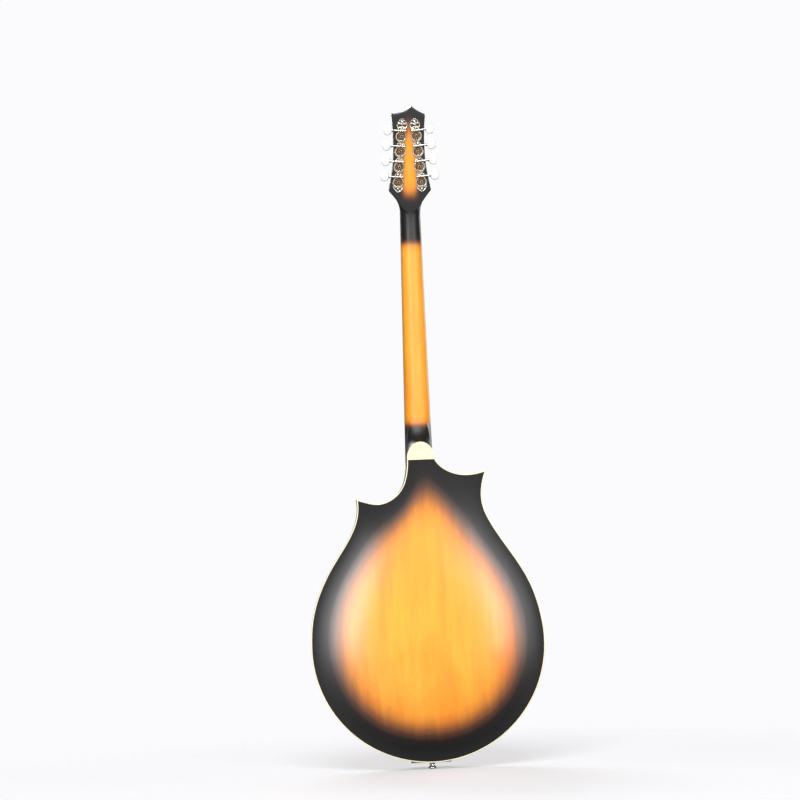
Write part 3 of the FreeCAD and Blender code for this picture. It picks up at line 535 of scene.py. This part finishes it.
class Film:
    """A film held along an outline and lifted evenly, with its peak at 1."""

    def __init__(self, loop):
        self.low = loop.min(axis=0) - FILM_STEP * np.array((2.0, 2.0))
        count = np.ceil((loop.max(axis=0) - self.low) / FILM_STEP).astype(int) + 3
        columns, rows = np.indices(count)
        spots = self.low + FILM_STEP * np.stack([columns.ravel(), rows.ravel()], axis=1)
        held = inside(spots, loop).reshape(count)
        height = np.zeros(count)
        for _ in range(FILM_SWEEPS):
            for colour in (0, 1):
                near = np.zeros(count)
                near[1:-1, 1:-1] = (height[:-2, 1:-1] + height[2:, 1:-1]
                                    + height[1:-1, :-2] + height[1:-1, 2:])
                live = held & ((columns + rows) % 2 == colour)
                height[live] += 1.95 * ((near[live] + 1) / 4 - height[live])
        self.height = height / height.max()

    def at(self, points):
        """The film's height at each (x, z) point."""
        place = (points - self.low) / FILM_STEP
        cell = np.floor(place).astype(int)
        share = place - cell
        i, j = cell.T
        u, v = share.T
        h = self.height
        return ((h[i, j] * (1 - u) + h[i + 1, j] * u) * (1 - v)
                + (h[i, j + 1] * (1 - u) + h[i + 1, j + 1] * u) * v)


def arch(film, fullness):
    """The height of the arching over a film's height."""
    lift = film ** fullness
    return ARCH_RISE * lift * lift * (3 - 2 * lift)


# ---- body ----

def flat_mesh(outline, holes, step):
    """Even triangles over an outline with holes: (points, triangles)."""
    low = outline.min(axis=0)
    high = outline.max(axis=0)
    grid = []
    columns = int((high[0] - low[0]) / step) + 1
    row = 0
    while low[1] + row * step * ROW_SHARE < high[1]:
        start = low[0] + (row % 2) * step / 2
        grid += [(start + i * step, low[1] + row * step * ROW_SHARE) for i in range(columns)]
        row += 1
    grid = np.array(grid)
    rims = [outline] + holes
    keep = inside(grid, outline)
    for hole in holes:
        keep &= ~inside(grid, hole)
    grid = grid[keep]
    for rim in rims:
        gap = np.linalg.norm(grid[:, None, :] - rim[None, :, :], axis=2).min(axis=1)
        grid = grid[gap > 0.55 * step]
    points = []
    edges = []
    for rim in rims:
        first = len(points)
        points += list(rim)
        edges += [(first + i, first + (i + 1) % len(rim)) for i in range(len(rim))]
    points += list(grid)
    flat = delaunay_2d_cdt([Vector(p) for p in points], edges, [], 0, 1e-7, False)
    places = np.array([tuple(v) for v in flat[0]])
    triangles = np.array(flat[2])
    middle = places[triangles].mean(axis=1)
    keep = inside(middle, outline)
    for hole in holes:
        keep &= ~inside(middle, hole)
    return places, triangles[keep]


def plate(name, node, outline, holes, side, film, slot):
    """A carved plate: outer arching, inner hollow, edge walls, and its burst value at each point."""
    places, triangles = flat_mesh(outline, holes, PLATE_STEP)
    height = film.at(places)
    outer = EDGE_Y + arch(height, BACK_FULLNESS if side > 0 else TOP_FULLNESS)
    inner = np.maximum(RIB_Y, outer - PLATE_THICK)
    shape = between(places, triangles, side * outer, side * inner)
    made = piece(name, *faced(*shape, side), slot)
    sharpen(made, 50)
    burst = height + apex(places) + flanks(places)
    carry(made, "burst", np.concatenate([burst, burst]))
    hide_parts(node)


def apex(places):
    """Draws the amber up to a soft point below the neck."""
    rise = np.clip((places[:, 1] - (JOINT_Z - 210 * MM)) / (110 * MM), 0, 1)
    return 0.2 * rise * rise * (3 - 2 * rise) * np.exp(-((places[:, 0] / (34 * MM)) ** 2))


def flanks(places):
    """Widens the amber a little at both sides."""
    return 0.02 * np.clip((np.abs(places[:, 0]) - 60 * MM) / (60 * MM), -1, 1)


def smooth_line(points, parts):
    """A smooth open line through the points."""
    path = [np.array(p, float) for p in points]
    path = [2 * path[0] - path[1]] + path + [2 * path[-1] - path[-2]]
    line = []
    for a, b, c, d in zip(path, path[1:], path[2:], path[3:]):
        for i in range(parts):
            t = i / parts
            line.append(0.5 * (2 * b + (c - a) * t + (2 * a - 5 * b + 4 * c - d) * t ** 2
                               + (3 * b - a - 3 * c + d) * t ** 3))
    return line + [path[-2]]


def eye(x, z, radius, start, end):
    """Part of a circle, as points from one angle to another in degrees."""
    turns = [math.radians(start + (end - start) * i / 16) for i in range(17)]
    return [np.array((x + radius * math.cos(t), z + radius * math.sin(t))) for t in turns]


def beyond(point, around):
    """How far a point lies outside an eye's circle."""
    x, z, radius = around
    return np.hypot(point[0] - x, point[1] - z) - radius


def f_hole(side, bridge_z):
    """One sound hole as a closed line: a round eye at each end of a swelling slot."""
    slot = [(*spot, half) for spot, half in zip(SLOT_LINE, SLOT_HALF_WIDTHS)]
    outer = smooth_line([(x + half, z + 0.3 * half) for x, z, half in slot], 6)
    inner = smooth_line([(x - half, z - 0.3 * half) for x, z, half in slot], 6)
    upper = eye(*UPPER_EYE, 96, 330)
    lower = eye(*LOWER_EYE, -84, 145)
    upper_end = 1 + next(i for i, p in enumerate(inner)
                         if p[1] < UPPER_EYE[1] - UPPER_EYE[2] and beyond(p, UPPER_EYE) > 0.6)
    lower_start = next(i for i, p in enumerate(outer) if beyond(p, LOWER_EYE) < 0.6)
    loop = outer[3:lower_start] + lower[::-1] + inner[::-1][2:len(inner) - upper_end] + upper[::-1]
    loop = np.array([(side * x * MM, bridge_z + z * MM) for x, z in loop])
    return loop if area(loop) > 0 else loop[::-1]


def binding(name, node, side):
    """Cream binding with its outer corner rounded over."""
    outer, inner = rim_loops(node, side)
    ahead = np.roll(outer, -1, axis=0) - outer
    ahead /= np.linalg.norm(ahead, axis=1)[:, None]
    normal = np.stack([-ahead[:, 1], ahead[:, 0]], axis=1)
    before = np.roll(normal, 1, axis=0)
    mitre = (normal + before) / (1 + np.sum(normal * before, axis=1))[:, None]
    radius = 0.8 * MM
    section = [(0.0, RIB_Y), (0.0, EDGE_Y - radius)]
    section += [(radius * (1 - math.cos(t)), EDGE_Y - radius * (1 - math.sin(t)))
                for t in (math.radians(a) for a in (22.5, 45, 67.5))]
    section += [(radius, EDGE_Y), (BINDING, EDGE_Y), (BINDING, RIB_Y)]
    count = len(outer)
    vertices = []
    for depth, y in section:
        vertices += [(x, side * y, z) for x, z in outer + mitre * depth]
    faces = []
    for row in range(len(section)):
        below = (row + 1) % len(section)
        for i in range(count):
            j = (i + 1) % count
            face = (row * count + i, row * count + j, below * count + j, below * count + i)
            faces.append(face if side < 0 else face[::-1])
    made = piece(name, vertices, faces, "cream_binding")
    sharpen(made, 50)
    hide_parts(node)
    return inner


def body_pieces():
    """Both arched plates inside their bindings."""
    inner = binding("back_binding_strip", "back_binding", 1)
    outline = finer(inner, PLATE_STEP)
    film = Film(rim_loops("back_binding", 1)[0])
    plate("back_skin", "back_plate", outline, [], 1, film, "back_maple")
    front = binding("top_binding_strip", "top_binding", -1)
    holes = [f_hole(side, JOINT_Z + BRIDGE_S) for side in (-1, 1)]
    plate("top_skin", "top_plate", finer(front, PLATE_STEP), holes, -1, film, "top_spruce")


# ---- neck ----

def remeshed(name, node, step):
    """An even mesh of a node's shape."""
    mesh = nodes[node].data.copy()
    mesh.name = name
    made = placed(name, mesh)
    change = made.modifiers.new("even", "REMESH")
    change.mode = "VOXEL"
    change.voxel_size = step
    shaped = made.evaluated_get(bpy.context.evaluated_depsgraph_get())
    even = bpy.data.meshes.new_from_object(shaped)
    bpy.data.objects.remove(made)
    return even


def relax(mesh, weights, rounds, shrink=0.5, swell=-0.52):
    """Smooths a mesh where the weights are high, without losing its size."""
    count = len(mesh.vertices)
    spots = np.empty(count * 3)
    mesh.vertices.foreach_get("co", spots)
    spots = spots.reshape(count, 3)
    ends = np.empty(len(mesh.edges) * 2, int)
    mesh.edges.foreach_get("vertices", ends)
    a, b = ends.reshape(-1, 2).T
    degree = np.bincount(a, minlength=count) + np.bincount(b, minlength=count)
    for _ in range(rounds):
        for pull in (shrink, swell):
            total = np.zeros_like(spots)
            np.add.at(total, a, spots[b])
            np.add.at(total, b, spots[a])
            spots = spots + (weights * pull)[:, None] * (total / degree[:, None] - spots)
    mesh.vertices.foreach_set("co", spots.ravel())
    mesh.update()


def neck_skin():
    """The neck with its heel, shaft and headstock run into each other in smooth curves."""
    mesh = remeshed("neck_skin", "neck", 1.0 * MM)
    spots = np.array([tuple(v.co) for v in mesh.vertices])
    relax(mesh, np.ones(len(spots)), 2)
    heel_spot = np.array((0, -4 * MM, JOINT_Z + 45 * MM))
    near = np.linalg.norm((spots - heel_spot) / (np.array((30, 24, 42)) * MM), axis=1)
    behind = np.clip((spots[:, 1] + 27 * MM) / (6 * MM), 0, 1)
    above = np.clip((spots[:, 2] - JOINT_Z - 2 * MM) / (8 * MM), 0, 1)
    relax(mesh, np.clip(1.6 - 1.6 * near, 0, 1) * behind * above, 60, 0.6, 0.0)
    coated(mesh, "neck_maple")
    made = placed("neck_skin", mesh)
    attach(made, "instrument")
    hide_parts("neck")


# ---- turned and cut parts ----

def tube_faces(rings, sides):
    """The walls between rings of points, one after another, and a cap at each end."""
    faces = []
    for row in range(rings - 1):
        for i in range(sides):
            j = (i + 1) % sides
            faces.append((row * sides + i, row * sides + j, (row + 1) * sides + j, (row + 1) * sides + i))
    faces.append(tuple(reversed(range(sides))))
    faces.append(tuple(range((rings - 1) * sides, rings * sides)))
    return faces


def turned(profile, sides=32, wave=None):
    """(vertices, faces) of (radius, height) pairs turned about Z; wave changes the radius by angle."""
    vertices = []
    for radius, height in profile:
        for i in range(sides):
            turn = 2 * math.pi * i / sides
            reach = radius * (wave(turn, radius) if wave else 1)
            vertices.append((reach * math.cos(turn), reach * math.sin(turn), height))
    return vertices, tube_faces(len(profile), sides)


def standing(matrix, shape):
    """Moves a shape given in millimetres into place, which may mirror it."""
    vertices, faces = shape
    return faced([matrix @ Vector([c * MM for c in v]) for v in vertices], faces, matrix.determinant())


def tuner_places():
    """Every tuner's number with the matrix of its gear, x outwards and z to the crest."""
    lean = math.radians(TUNER_SPLAY)
    places = {}
    for first, side in ((1, -1), (1 + TUNER_ROWS, 1)):
        for row, along in enumerate(GEAR_PLACES):
            aside = TUNER_MIDDLE_X - along * math.sin(lean)
            spot = Vector((side * aside, 0, TUNER_MIDDLE_S + along * math.cos(lean)))
            turn = HEAD @ Matrix.Translation(spot * MM) @ Matrix.Rotation(-side * lean, 4, "Y")
            places[first + row] = turn @ Matrix.Diagonal((side, 1, 1, 1))
    return places


def faced(vertices, faces, side):
    """A shape with its faces turned over if it has been mirrored, which a negative side says."""
    return vertices, [tuple(reversed(f)) for f in faces] if side < 0 else faces


def cut_out(outline, holes, step, low, high):
    """A flat part between two heights along Y, from (x, z) lines."""
    places, triangles = flat_mesh(outline, holes, step)
    return between(places, triangles, np.full(len(places), high), np.full(len(places), low))


def between(places, triangles, high, low):
    """A solid between two height fields over the same triangles."""
    count = len(places)
    vertices = [(x, y, z) for level in (high, low) for (x, z), y in zip(places, level)]
    faces = [tri[::-1] for tri in triangles.tolist()]
    below = [[i + count for i in reversed(face)] for face in faces]
    sides = {edge for a, b, c in faces for edge in ((a, b), (b, c), (c, a))}
    walls = [(b, a, a + count, b + count) for a, b in sorted(sides) if (b, a) not in sides]
    return vertices, faces + below + walls


def circle(x, z, radius, parts):
    """A closed round line."""
    turns = [2 * math.pi * i / parts for i in range(parts)]
    return np.array([(x + radius * math.cos(t), z + radius * math.sin(t)) for t in turns])


def band(value, middle, half, soft):
    """1 within half of the middle value, falling smoothly to 0 over soft."""
    share = np.clip((half + soft - np.abs(value - middle)) / soft, 0, 1)
    return share * share * (3 - 2 * share)


def plate_relief(places, outline):
    """How far each point of a tuner plate stands up, from 0 in the ground to 1 on the raised lines."""
    edge = np.min([np.hypot(*(places - spot).T) for spot in outline[::2]], axis=0)
    raised = band(edge, 0.75, 0.35, 0.3)
    for along in GEAR_PLACES:
        x, z = (places - (0.4, along - 1.4)).T
        raised = np.maximum(raised, band(np.hypot(x, z), 7.0, 1.0, 0.35))
        x, z = (places - (0.2, along + 7.6)).T
        spread = np.hypot(x, z)
        petals = band(np.sin(5.5 * np.arctan2(x, z)), 1.0, 0.55, 0.5) * band(spread, 3.4, 0.9, 0.4)
        upper = np.clip((z + 1.0) / 1.0, 0, 1)
        raised = np.maximum(raised, np.maximum(band(spread, 5.6, 0.5, 0.35), petals) * upper)
    for tip, aim in PLATE_TIPS:
        x, z = (places - (0, tip - aim * 8.4)).T
        spread = np.hypot(x, z)
        turn = np.arctan2(x, z * aim)
        petals = band(np.sin(4.5 * turn + math.pi / 2), 1.0, 0.6, 0.5) * band(spread, 4.4, 1.2, 0.5)
        outer = np.clip(z * aim + 2.0, 0, 1)
        raised = np.maximum(raised, np.maximum(petals, band(spread, 1.3, 0.5, 0.4)) * outer)
    return raised, edge


def plate_outline():
    """The scalloped edge of a tuner plate, from the round parts it is made of."""
    rounds = []
    for along in GEAR_PLACES:
        rounds += [(0.4, along - 1.4, 8.4), (0.2, along + 7.6, 6.5)]
    for tip, aim in PLATE_TIPS:
        rounds += [(0.0, tip - aim * 9.6, 8.0), (0.0, tip - aim * 4.6, 4.6)]
    low, high = PLATE_TIPS[1][0], PLATE_TIPS[0][0]
    levels = [low + 0.03, low + 0.25, *np.arange(low + 0.6, high - 0.4, 0.45), high - 0.25, high - 0.03]
    right = []
    left = []
    for level in levels:
        spans = [(x, math.sqrt(r * r - (level - z) ** 2)) for x, z, r in rounds if abs(level - z) < r]
        right.append((max([x + half for x, half in spans]), level))
        left.append((min([x - half for x, half in spans]), level))
    return np.array(right + left[::-1])


def plate_shape():
    """(shape, tarnish and painted shade) of an engraved tuner plate, lying on the back of the headstock."""
    outline = plate_outline()
    holes = [circle(0, along, 3.08, 24) for along in GEAR_PLACES]
    places, triangles = flat_mesh(outline, holes, 0.55)
    raised, edge = plate_relief(places, outline)
    ground = np.clip(edge / 0.35, 0, 1)
    high = HEAD_DEPTH + 0.5 + 0.35 * np.sqrt(ground) + 0.35 * raised
    # Tarnish in the engraved ground.
    dirt_and_shade = np.clip(0.85 - raised, 0, 1)
    # Painted shadow in a ring round each gear, where the gear stands over the plate.
    for along in GEAR_PLACES:
        near = np.hypot(*(places - (0, along)).T)
        dirt_and_shade = np.maximum(dirt_and_shade, np.clip((6.0 - near) / 0.8, 0, 1))
    shape = between(places, triangles, high, np.full(len(places), HEAD_DEPTH))
    return shape, np.concatenate([dirt_and_shade, np.zeros(len(places))])


def lug_shape():
    """A lug that holds one end of a worm's shaft: round above its hole, and square where it stands."""
    half = 2.6
    foot = HEAD_DEPTH + 0.4
    crown = [(half * math.cos(t), SHAFT_DEPTH + half * math.sin(t)) for t in np.linspace(0, math.pi, 15)]
    outline = np.array([(-half, foot), (half, foot)] + crown)
    return cut_out(outline, [circle(0, SHAFT_DEPTH, SHAFT_HOLE, 20)], 0.7, 0, 1.2)


def tuner_plates():
    """Both tuner plates with their lugs."""
    shape, dirt_and_shade = plate_shape()
    lug = lug_shape()
    for side, name in ((-1, "bass"), (1, "treble")):
        node = "tuner_plate_" + name
        lean = Matrix.Rotation(-side * math.radians(TUNER_SPLAY), 4, "Y")
        stand = HEAD @ Matrix.Translation(Vector((side * TUNER_MIDDLE_X, 0, TUNER_MIDDLE_S)) * MM)
        stand = stand @ lean @ Matrix.Diagonal((side, 1, 1, 1))
        made = piece("plate_" + name, *standing(stand, shape), "plate_nickel")
        carry(made, "dirt_and_shade", dirt_and_shade)
        sharpen(made, 50)
        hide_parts(node)
        for row, along in enumerate(GEAR_PLACES):
            for end, x in (("inner", -5.5), ("outer", 4.3)):
                spot = stand @ Matrix.Translation(Vector((x, 0, along + WORM_OFFSET)) * MM) @ SIDEWAYS
                made = piece("lug_%s_%s_%d" % (name, end, row + 1), *standing(spot, lug), "plate_nickel")
                sharpen(made, 50)
                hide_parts(node)


def gear_wave(turn, radius):
    """Rounded teeth on the rim of a gear."""
    if radius < 4.4:
        return 1
    return 1 - 0.10 * max(0.0, math.cos(GEAR_TEETH * turn)) ** 0.6


def worm_shape():
    """A worm with a real helical thread, its shaft and its collar, along Z."""
    sides = 28
    vertices = []
    threaded = [(height, 2.1, 0.6) for height in np.linspace(-THREAD_HALF_LENGTH, THREAD_HALF_LENGTH, 61)]
    tip = [(-6.2, 1.3, 0), (-6.0, 1.5, 0), (-4.1, 1.5, 0), (-4.0, 1.9, 0)]
    shaft = [(4.0, 1.9, 0), (4.1, 1.5, 0), (13.0, 1.5, 0)]
    collar = [(13.2, 2.0, 0), (13.6, 2.45, 0), (14.3, 2.5, 0), (14.9, 2.45, 0), (15.0, 1.4, 0)]
    stations = tip + threaded + shaft + collar
    for height, core, thread in stations:
        for i in range(sides):
            turn = 2 * math.pi * i / sides
            phase = (height / THREAD_PITCH - turn / (2 * math.pi)) % 1.0
            taper = min(1.0, (THREAD_HALF_LENGTH - abs(height)) / 0.5) if thread else 0
            radius = core + thread * taper * min(1.0, max(0.0, 1.6 - abs(phase - 0.5) * 5.0))
            vertices.append((radius * math.cos(turn), radius * math.sin(turn), height))
    return vertices, tube_faces(len(stations), sides)


def button_shape():
    """A pearl button along Z from its collar: an oval pressed flat, waisted where the shaft enters."""
    sides = 48
    rows = 22
    vertices = []
    for row in range(rows + 1):
        share = row / rows
        turn = math.pi * (0.045 + 0.955 * share)
        reach = math.sin(turn) ** 0.72 if row < rows else 0.012
        height = -math.cos(turn) * BUTTON_LENGTH / 2
        for i in range(sides):
            angle = 2 * math.pi * i / sides
            wide = math.copysign(abs(math.cos(angle)) ** 0.92, math.cos(angle)) * BUTTON_HEIGHT / 2
            thick = math.copysign(abs(math.sin(angle)) ** 0.92, math.sin(angle)) * BUTTON_THICK / 2
            vertices.append((wide * reach, thick * reach, height))
    return vertices, tube_faces(rows + 1, sides)


def post_parts():
    """The parts that turn with a string post, as (name, slot, profile, darkening on each ring, sides,
    wave); the darkening is painted shade at the gear's hub and in the screw's recess.
    """
    bottom = SHAFT_DEPTH - 2.0
    top = SHAFT_DEPTH + 2.0
    gear = [(3.05, bottom), (4.8, bottom), (5.0, bottom + 0.2), (5.0, top - 0.35), (4.6, top),
            (3.9, top), (3.7, top - 0.3), (2.9, top - 0.4), (2.6, top - 0.4)]
    screw = [(2.5, top - 0.45), (2.5, top + 0.75), (2.25, top + 1.1), (1.7, top + 1.2),
             (1.35, top + 1.15), (1.15, top + 0.6), (0.4, top + 0.5)]
    post = [(2.9, POST_TOP), (3.0, POST_TOP + 0.3), (3.0, -7.6), (2.7, -6.9), (2.62, -5.6), (2.7, -4.4),
            (3.0, -3.6), (3.0, bottom)]
    # Painted shade on the gear's hub ring beside the screw; the sides and underside of the gear are
    # darkened a little.
    gear_shade = [1.0 if r < 3.5 else 0.35 if h < top - 0.2 else 0.0 for r, h in gear]
    # Painted shade in the recess of the screw head.
    screw_shade = [1.0 if r < 1.2 else 0.0 for r, h in screw]
    return (("gear", "gear_metal", gear, gear_shade, 120, gear_wave),
            ("gear_screw", "nickel", screw, screw_shade, 32, None),
            ("post", "nickel", post, None, 32, None))


def tuning_machines():
    """The gear, screw, post, worm and button of every tuner."""
    for number, place in tuner_places().items():
        post_body = "post_%d" % number
        worm_body = "worm_%d" % number
        for name, slot, profile, dirt_and_shade, sides, wave in post_parts():
            shape = standing(place @ UPWARDS, turned(profile, sides, wave))
            made = piece("%s_%d" % (name, number), *shape, slot, post_body)
            if dirt_and_shade:
                carry(made, "dirt_and_shade", np.repeat(dirt_and_shade, sides))
            sharpen(made, 40)
            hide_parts("string_post_%d" % number)
        spot = Vector((0, SHAFT_DEPTH, WORM_OFFSET)) * MM
        shape = standing(place @ Matrix.Translation(spot) @ OUTWARDS, worm_shape())
        made = piece("worm_%d" % number, *shape, "nickel", worm_body)
        sharpen(made, 40)
        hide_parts("tuner_worm_%d" % number)
        spot = Vector((BUTTON_REACH, SHAFT_DEPTH, WORM_OFFSET)) * MM
        shape = standing(place @ Matrix.Translation(spot) @ OUTWARDS, button_shape())
        made = piece("button_%d" % number, *shape, "pearl_button", worm_body)
        sharpen(made, 60)
        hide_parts("tuner_button_%d" % number)


# ---- strings ----

def swept(path, radius, sides=10):
    """(vertices, faces) of a round wire along a path, with rounded ends."""
    path = [Vector(p) for p in path]
    ahead = [(b - a).normalized() for a, b in zip(path, path[1:])]
    ahead = [ahead[0]] + [(a + b).normalized() for a, b in zip(ahead, ahead[1:])] + [ahead[-1]]
    side = ahead[0].orthogonal().normalized()
    first, last = path[0], path[-1]
    spots = [(first - ahead[0] * radius * 0.8, ahead[0], 0.5)] + [(p, a, 1.0) for p, a in zip(path, ahead)]
    spots.append((last + ahead[-1] * radius * 0.8, ahead[-1], 0.5))
    vertices = []
    for spot, along, share in spots:
        side = (side - along * side.dot(along)).normalized()
        other = along.cross(side)
        for i in range(sides):
            turn = 2 * math.pi * i / sides
            vertices.append(spot + (side * math.cos(turn) + other * math.sin(turn)) * radius * share)
    return vertices, tube_faces(len(spots), sides)


def wire(name, path, radius, slot, node, bends=None):
    """A wire piece; where bends is given, the piece rides on no body and has its place baked into its mesh;
    the (start, end) points in bends are not used.
    """
    made = piece(name, *swept(path, radius), slot, None if bends else "instrument")
    if bends:
        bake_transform(made)
    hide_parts(node)


def coil_path(place, reach, pitch):
    """The turns of a string round its post, starting at the side that faces the middle."""
    path = []
    for i in range(20 * COIL_TURNS + 1):
        turn = 2 * math.pi * i / 20
        rise = -5 * MM + pitch * turn / (2 * math.pi)
        path.append(place @ Vector((-reach * math.cos(turn), rise, reach * math.sin(turn))))
    return path


def loop_path(tail, hook, radius):
    """The loop of a string round its hook on the tailpiece."""
    turns = [math.radians(-70 + 320 * i / 24) for i in range(25)]
    return [tail @ (hook + Vector((radius * math.cos(t), 0, radius * math.sin(t)))) for t in turns]


def strings():
    """Every string in five pieces: loop, wrap, tail, speaking length, and the head with its coil."""
    tail = tilted((0, -EDGE_Y - 0.5 * MM, PIN_LENGTH - 1.2 * MM), TAIL_TILT)
    places = tuner_places()
    for number in range(1, 9):
        course, pair = divmod(number - 1, 2)
        radius = COURSE_RADII[course]
        slot, node = ("string_bronze", "strings_wound") if course < 3 else ("string_steel", "strings_plain")
        tuner = number if number <= TUNER_ROWS else 3 * TUNER_ROWS + 1 - number
        nut_x = NUT_COURSES[course] + (pair - 0.5) * NUT_PAIR
        saddle_x = SADDLE_COURSES[course] + (pair - 0.5) * SADDLE_PAIR
        saddle = NECK @ Vector((saddle_x, -4.5 * MM, BRIDGE_S))
        nut = NECK @ Vector((nut_x, -0.9 * MM - radius, NUT_S + 2.5 * MM))
        coil = coil_path(places[tuner], POST_RADIUS + radius + 0.05 * MM, 1.7 * radius)
        speaking = [saddle, saddle.lerp(nut, 0.5), nut]
        wire("string_long_%d" % number, speaking, radius, slot, node, (nut, saddle))
        wire("string_head_%d" % number, [nut, nut.lerp(coil[0], 0.5), *coil], radius, slot, node)
        row = 1 if number in (2, 3, 6, 7) else 0
        hook = Vector((saddle_x * 0.92, -3.0 * MM, HOOK_HEIGHT - HOOK_STEP * row))
        loop = HOOK_RADIUS + 0.15 * MM + radius
        start = tail @ (hook + Vector((0, 0, loop * 1.05)))
        behind = [start, start.lerp(saddle, 0.5), saddle]
        wire("string_tail_%d" % number, behind, radius, slot, node, (start, saddle))
        wire("string_loop_%d" % number, loop_path(tail, hook, loop), radius * 0.9, slot, node)
        wrap = [start.lerp(saddle, share) for share in (0.0, 0.03, 0.07, 0.1)]
        wire("string_wrap_%d" % number, wrap, radius + 0.22 * MM, slot, node, (start, saddle))


# ---- parts with their edges rounded over ----

def softened(node, width, body="instrument"):
    """A copy of a node's shape with its sharp edges rounded over by a small width."""
    slot = SLOTS[node]
    mesh = nodes[node].data.copy()
    work = bmesh.new()
    work.from_mesh(mesh)
    bmesh.ops.remove_doubles(work, verts=work.verts, dist=0.002 * MM)
    bmesh.ops.dissolve_limit(work, angle_limit=math.radians(0.6), verts=work.verts, edges=work.edges)
    shared = [edge for edge in work.edges if len(edge.link_faces) == 2]
    sharp = [edge for edge in shared if edge.calc_face_angle(0.0) > math.radians(BEVEL_ANGLE)]
    bmesh.ops.bevel(work, geom=sharp, offset=width, segments=2, profile=0.6, affect="EDGES",
                    clamp_overlap=True)
    bmesh.ops.triangulate(work, faces=[f for f in work.faces if len(f.verts) > 4])
    work.to_mesh(mesh)
    work.free()
    mesh.name = node + "_soft"
    coated(mesh, slot)
    mesh.set_sharp_from_angle(angle=math.radians(CREASE_ANGLE))
    rough = placed("rough", mesh)
    level = rough.modifiers.new("level", "WEIGHTED_NORMAL")
    level.keep_sharp = True
    shaped = rough.evaluated_get(bpy.context.evaluated_depsgraph_get())
    made = placed(node + "_soft", bpy.data.meshes.new_from_object(shaped))
    bpy.data.objects.remove(rough)
    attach(made, body)
    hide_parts(node)


def soft_parts():
    """Every small part whose edges are rounded over, with the width of the rounding in millimetres."""
    fixed = {"heel_cap": 0.5, "nut": 0.35, "bridge_base": 0.6, "headstock_veneer": 0.3,
             "truss_rod_cover": 0.4, "tailpiece_base": 0.25, "tailpiece_screws": 0.15, "end_pin": 0.4,
             "headstock_screws": 0.12, "post_bushings": 0.25, "fingerboard": 0.25}
    for node, width in fixed.items():
        softened(node, width * MM)
    softened("bridge_saddle", 0.4 * MM, "saddle")
    softened("thumbwheel_bass", 0.25 * MM, "wheel_bass")
    softened("thumbwheel_treble", 0.25 * MM, "wheel_treble")
    softened("tailpiece_cover", 0.3 * MM, "tail_cover")


# ---- finish of the carried-over nodes ----

def paint_nodes():
    """Gives every node its slot's paint."""
    for node, slot in SLOTS.items():
        mesh = nodes[node].data
        mesh.materials.clear()
        mesh.materials.append(PAINTS[slot])


# ---- stage ----

def camera():
    """Behind the instrument and a little below its middle, with the picture turned slightly."""
    spot = Vector((0.17097, 3.49582, 0.2955))
    aim = Vector((0.02622, 0.0, 0.54618))
    turn = math.radians(2.3)
    ahead = (aim - spot).normalized()
    level = ahead.cross(Vector((0, 0, 1))).normalized()
    upright = level.cross(ahead)
    right = level * math.cos(turn) - upright * math.sin(turn)
    up = level * math.sin(turn) + upright * math.cos(turn)
    data = bpy.data.cameras.new("camera")
    data.sensor_width = 36
    data.lens = 105.84
    made = placed("camera", data)
    made.matrix_world = Matrix.Translation(spot) @ Matrix((right, up, -ahead)).transposed().to_4x4()
    bpy.context.scene.camera = made


def softbox(name, spot, aim, size, power):
    """A rectangular studio light at a spot, turned towards its aim."""
    data = bpy.data.lights.new(name, "AREA")
    data.shape = "RECTANGLE"
    data.size, data.size_y = size
    data.energy = power
    made = placed(name, data)
    made.location = spot
    made.rotation_euler = (Vector(aim) - Vector(spot)).to_track_quat("-Z", "Y").to_euler()


def studio():
    """A white surrounding that lights the object only faintly."""
    world = bpy.data.worlds.new("studio")
    world.use_nodes = True
    tree = world.node_tree
    seen = tree.nodes.new("ShaderNodeLightPath").outputs["Is Camera Ray"]
    level = tree.nodes.new("ShaderNodeMapRange")
    tree.links.new(seen, level.inputs["Value"])
    level.inputs["To Min"].default_value = 0.2
    level.inputs["To Max"].default_value = 0.98
    tree.links.new(level.outputs["Result"], tree.nodes["Background"].inputs["Strength"])
    tree.nodes["Background"].inputs["Color"].default_value = (0.985, 0.985, 1.0, 1.0)
    bpy.context.scene.world = world


def lights():
    """Soft lights behind the object, which the camera faces, and in front of it."""
    softbox("back_key", (0.3, 2.4, 2.3), (0, 0, 0.65), (1.8, 0.9), 60)
    softbox("back_left", (1.1, 2.8, 0.6), (0, 0, 0.25), (0.4, 1.3), 40)
    softbox("back_right", (-1.3, 2.8, 0.6), (0, 0, 0.25), (0.3, 1.3), 28)
    softbox("back_middle", (-0.65, 2.9, 0.9), (0, 0, 0.35), (0.4, 1.0), 4)
    softbox("head_card", (0.1, 2.2, -0.3), (0, 0.05, 0.9), (1.4, 0.7), 1)
    softbox("front_key", (0.6, -2.4, 2.0), (0, 0, 0.5), (1.8, 1.2), 50)
    softbox("front_side", (-1.8, -1.8, 0.7), (0, 0, 0.4), (0.6, 1.4), 18)


def floor():
    """A pale floor that fades out into the white around it."""
    paint = Paint("floor_paint", Roughness=0.9, Specular_IOR_Level=0.0)
    paint.feed("Base Color", paint.tone(srgb(245, 245, 248), paint.noise(3.0), 0.985, 1.0))
    far = paint.add("ShaderNodeVectorMath", {0: paint.place}, operation="LENGTH").outputs["Value"]
    paint.feed("Alpha", paint.math("MULTIPLY", paint.fade(far, 1.0, 0.35), 0.6))
    rim = [(x, y, 0) for x, y in circle(0, 0, FLOOR_RADIUS, 64)]
    mesh = bpy.data.meshes.new("floor")
    mesh.from_pydata(rim, [], [list(range(len(rim)))])
    mesh.materials.append(paint.material)
    made = placed("floor", mesh)
    made.visible_glossy = False


paint_nodes()
body_pieces()
neck_skin()
tuning_machines()
tuner_plates()
strings()
soft_parts()
camera()
studio()
lights()
floor()
bpy.context.scene.view_settings.view_transform = "Standard"
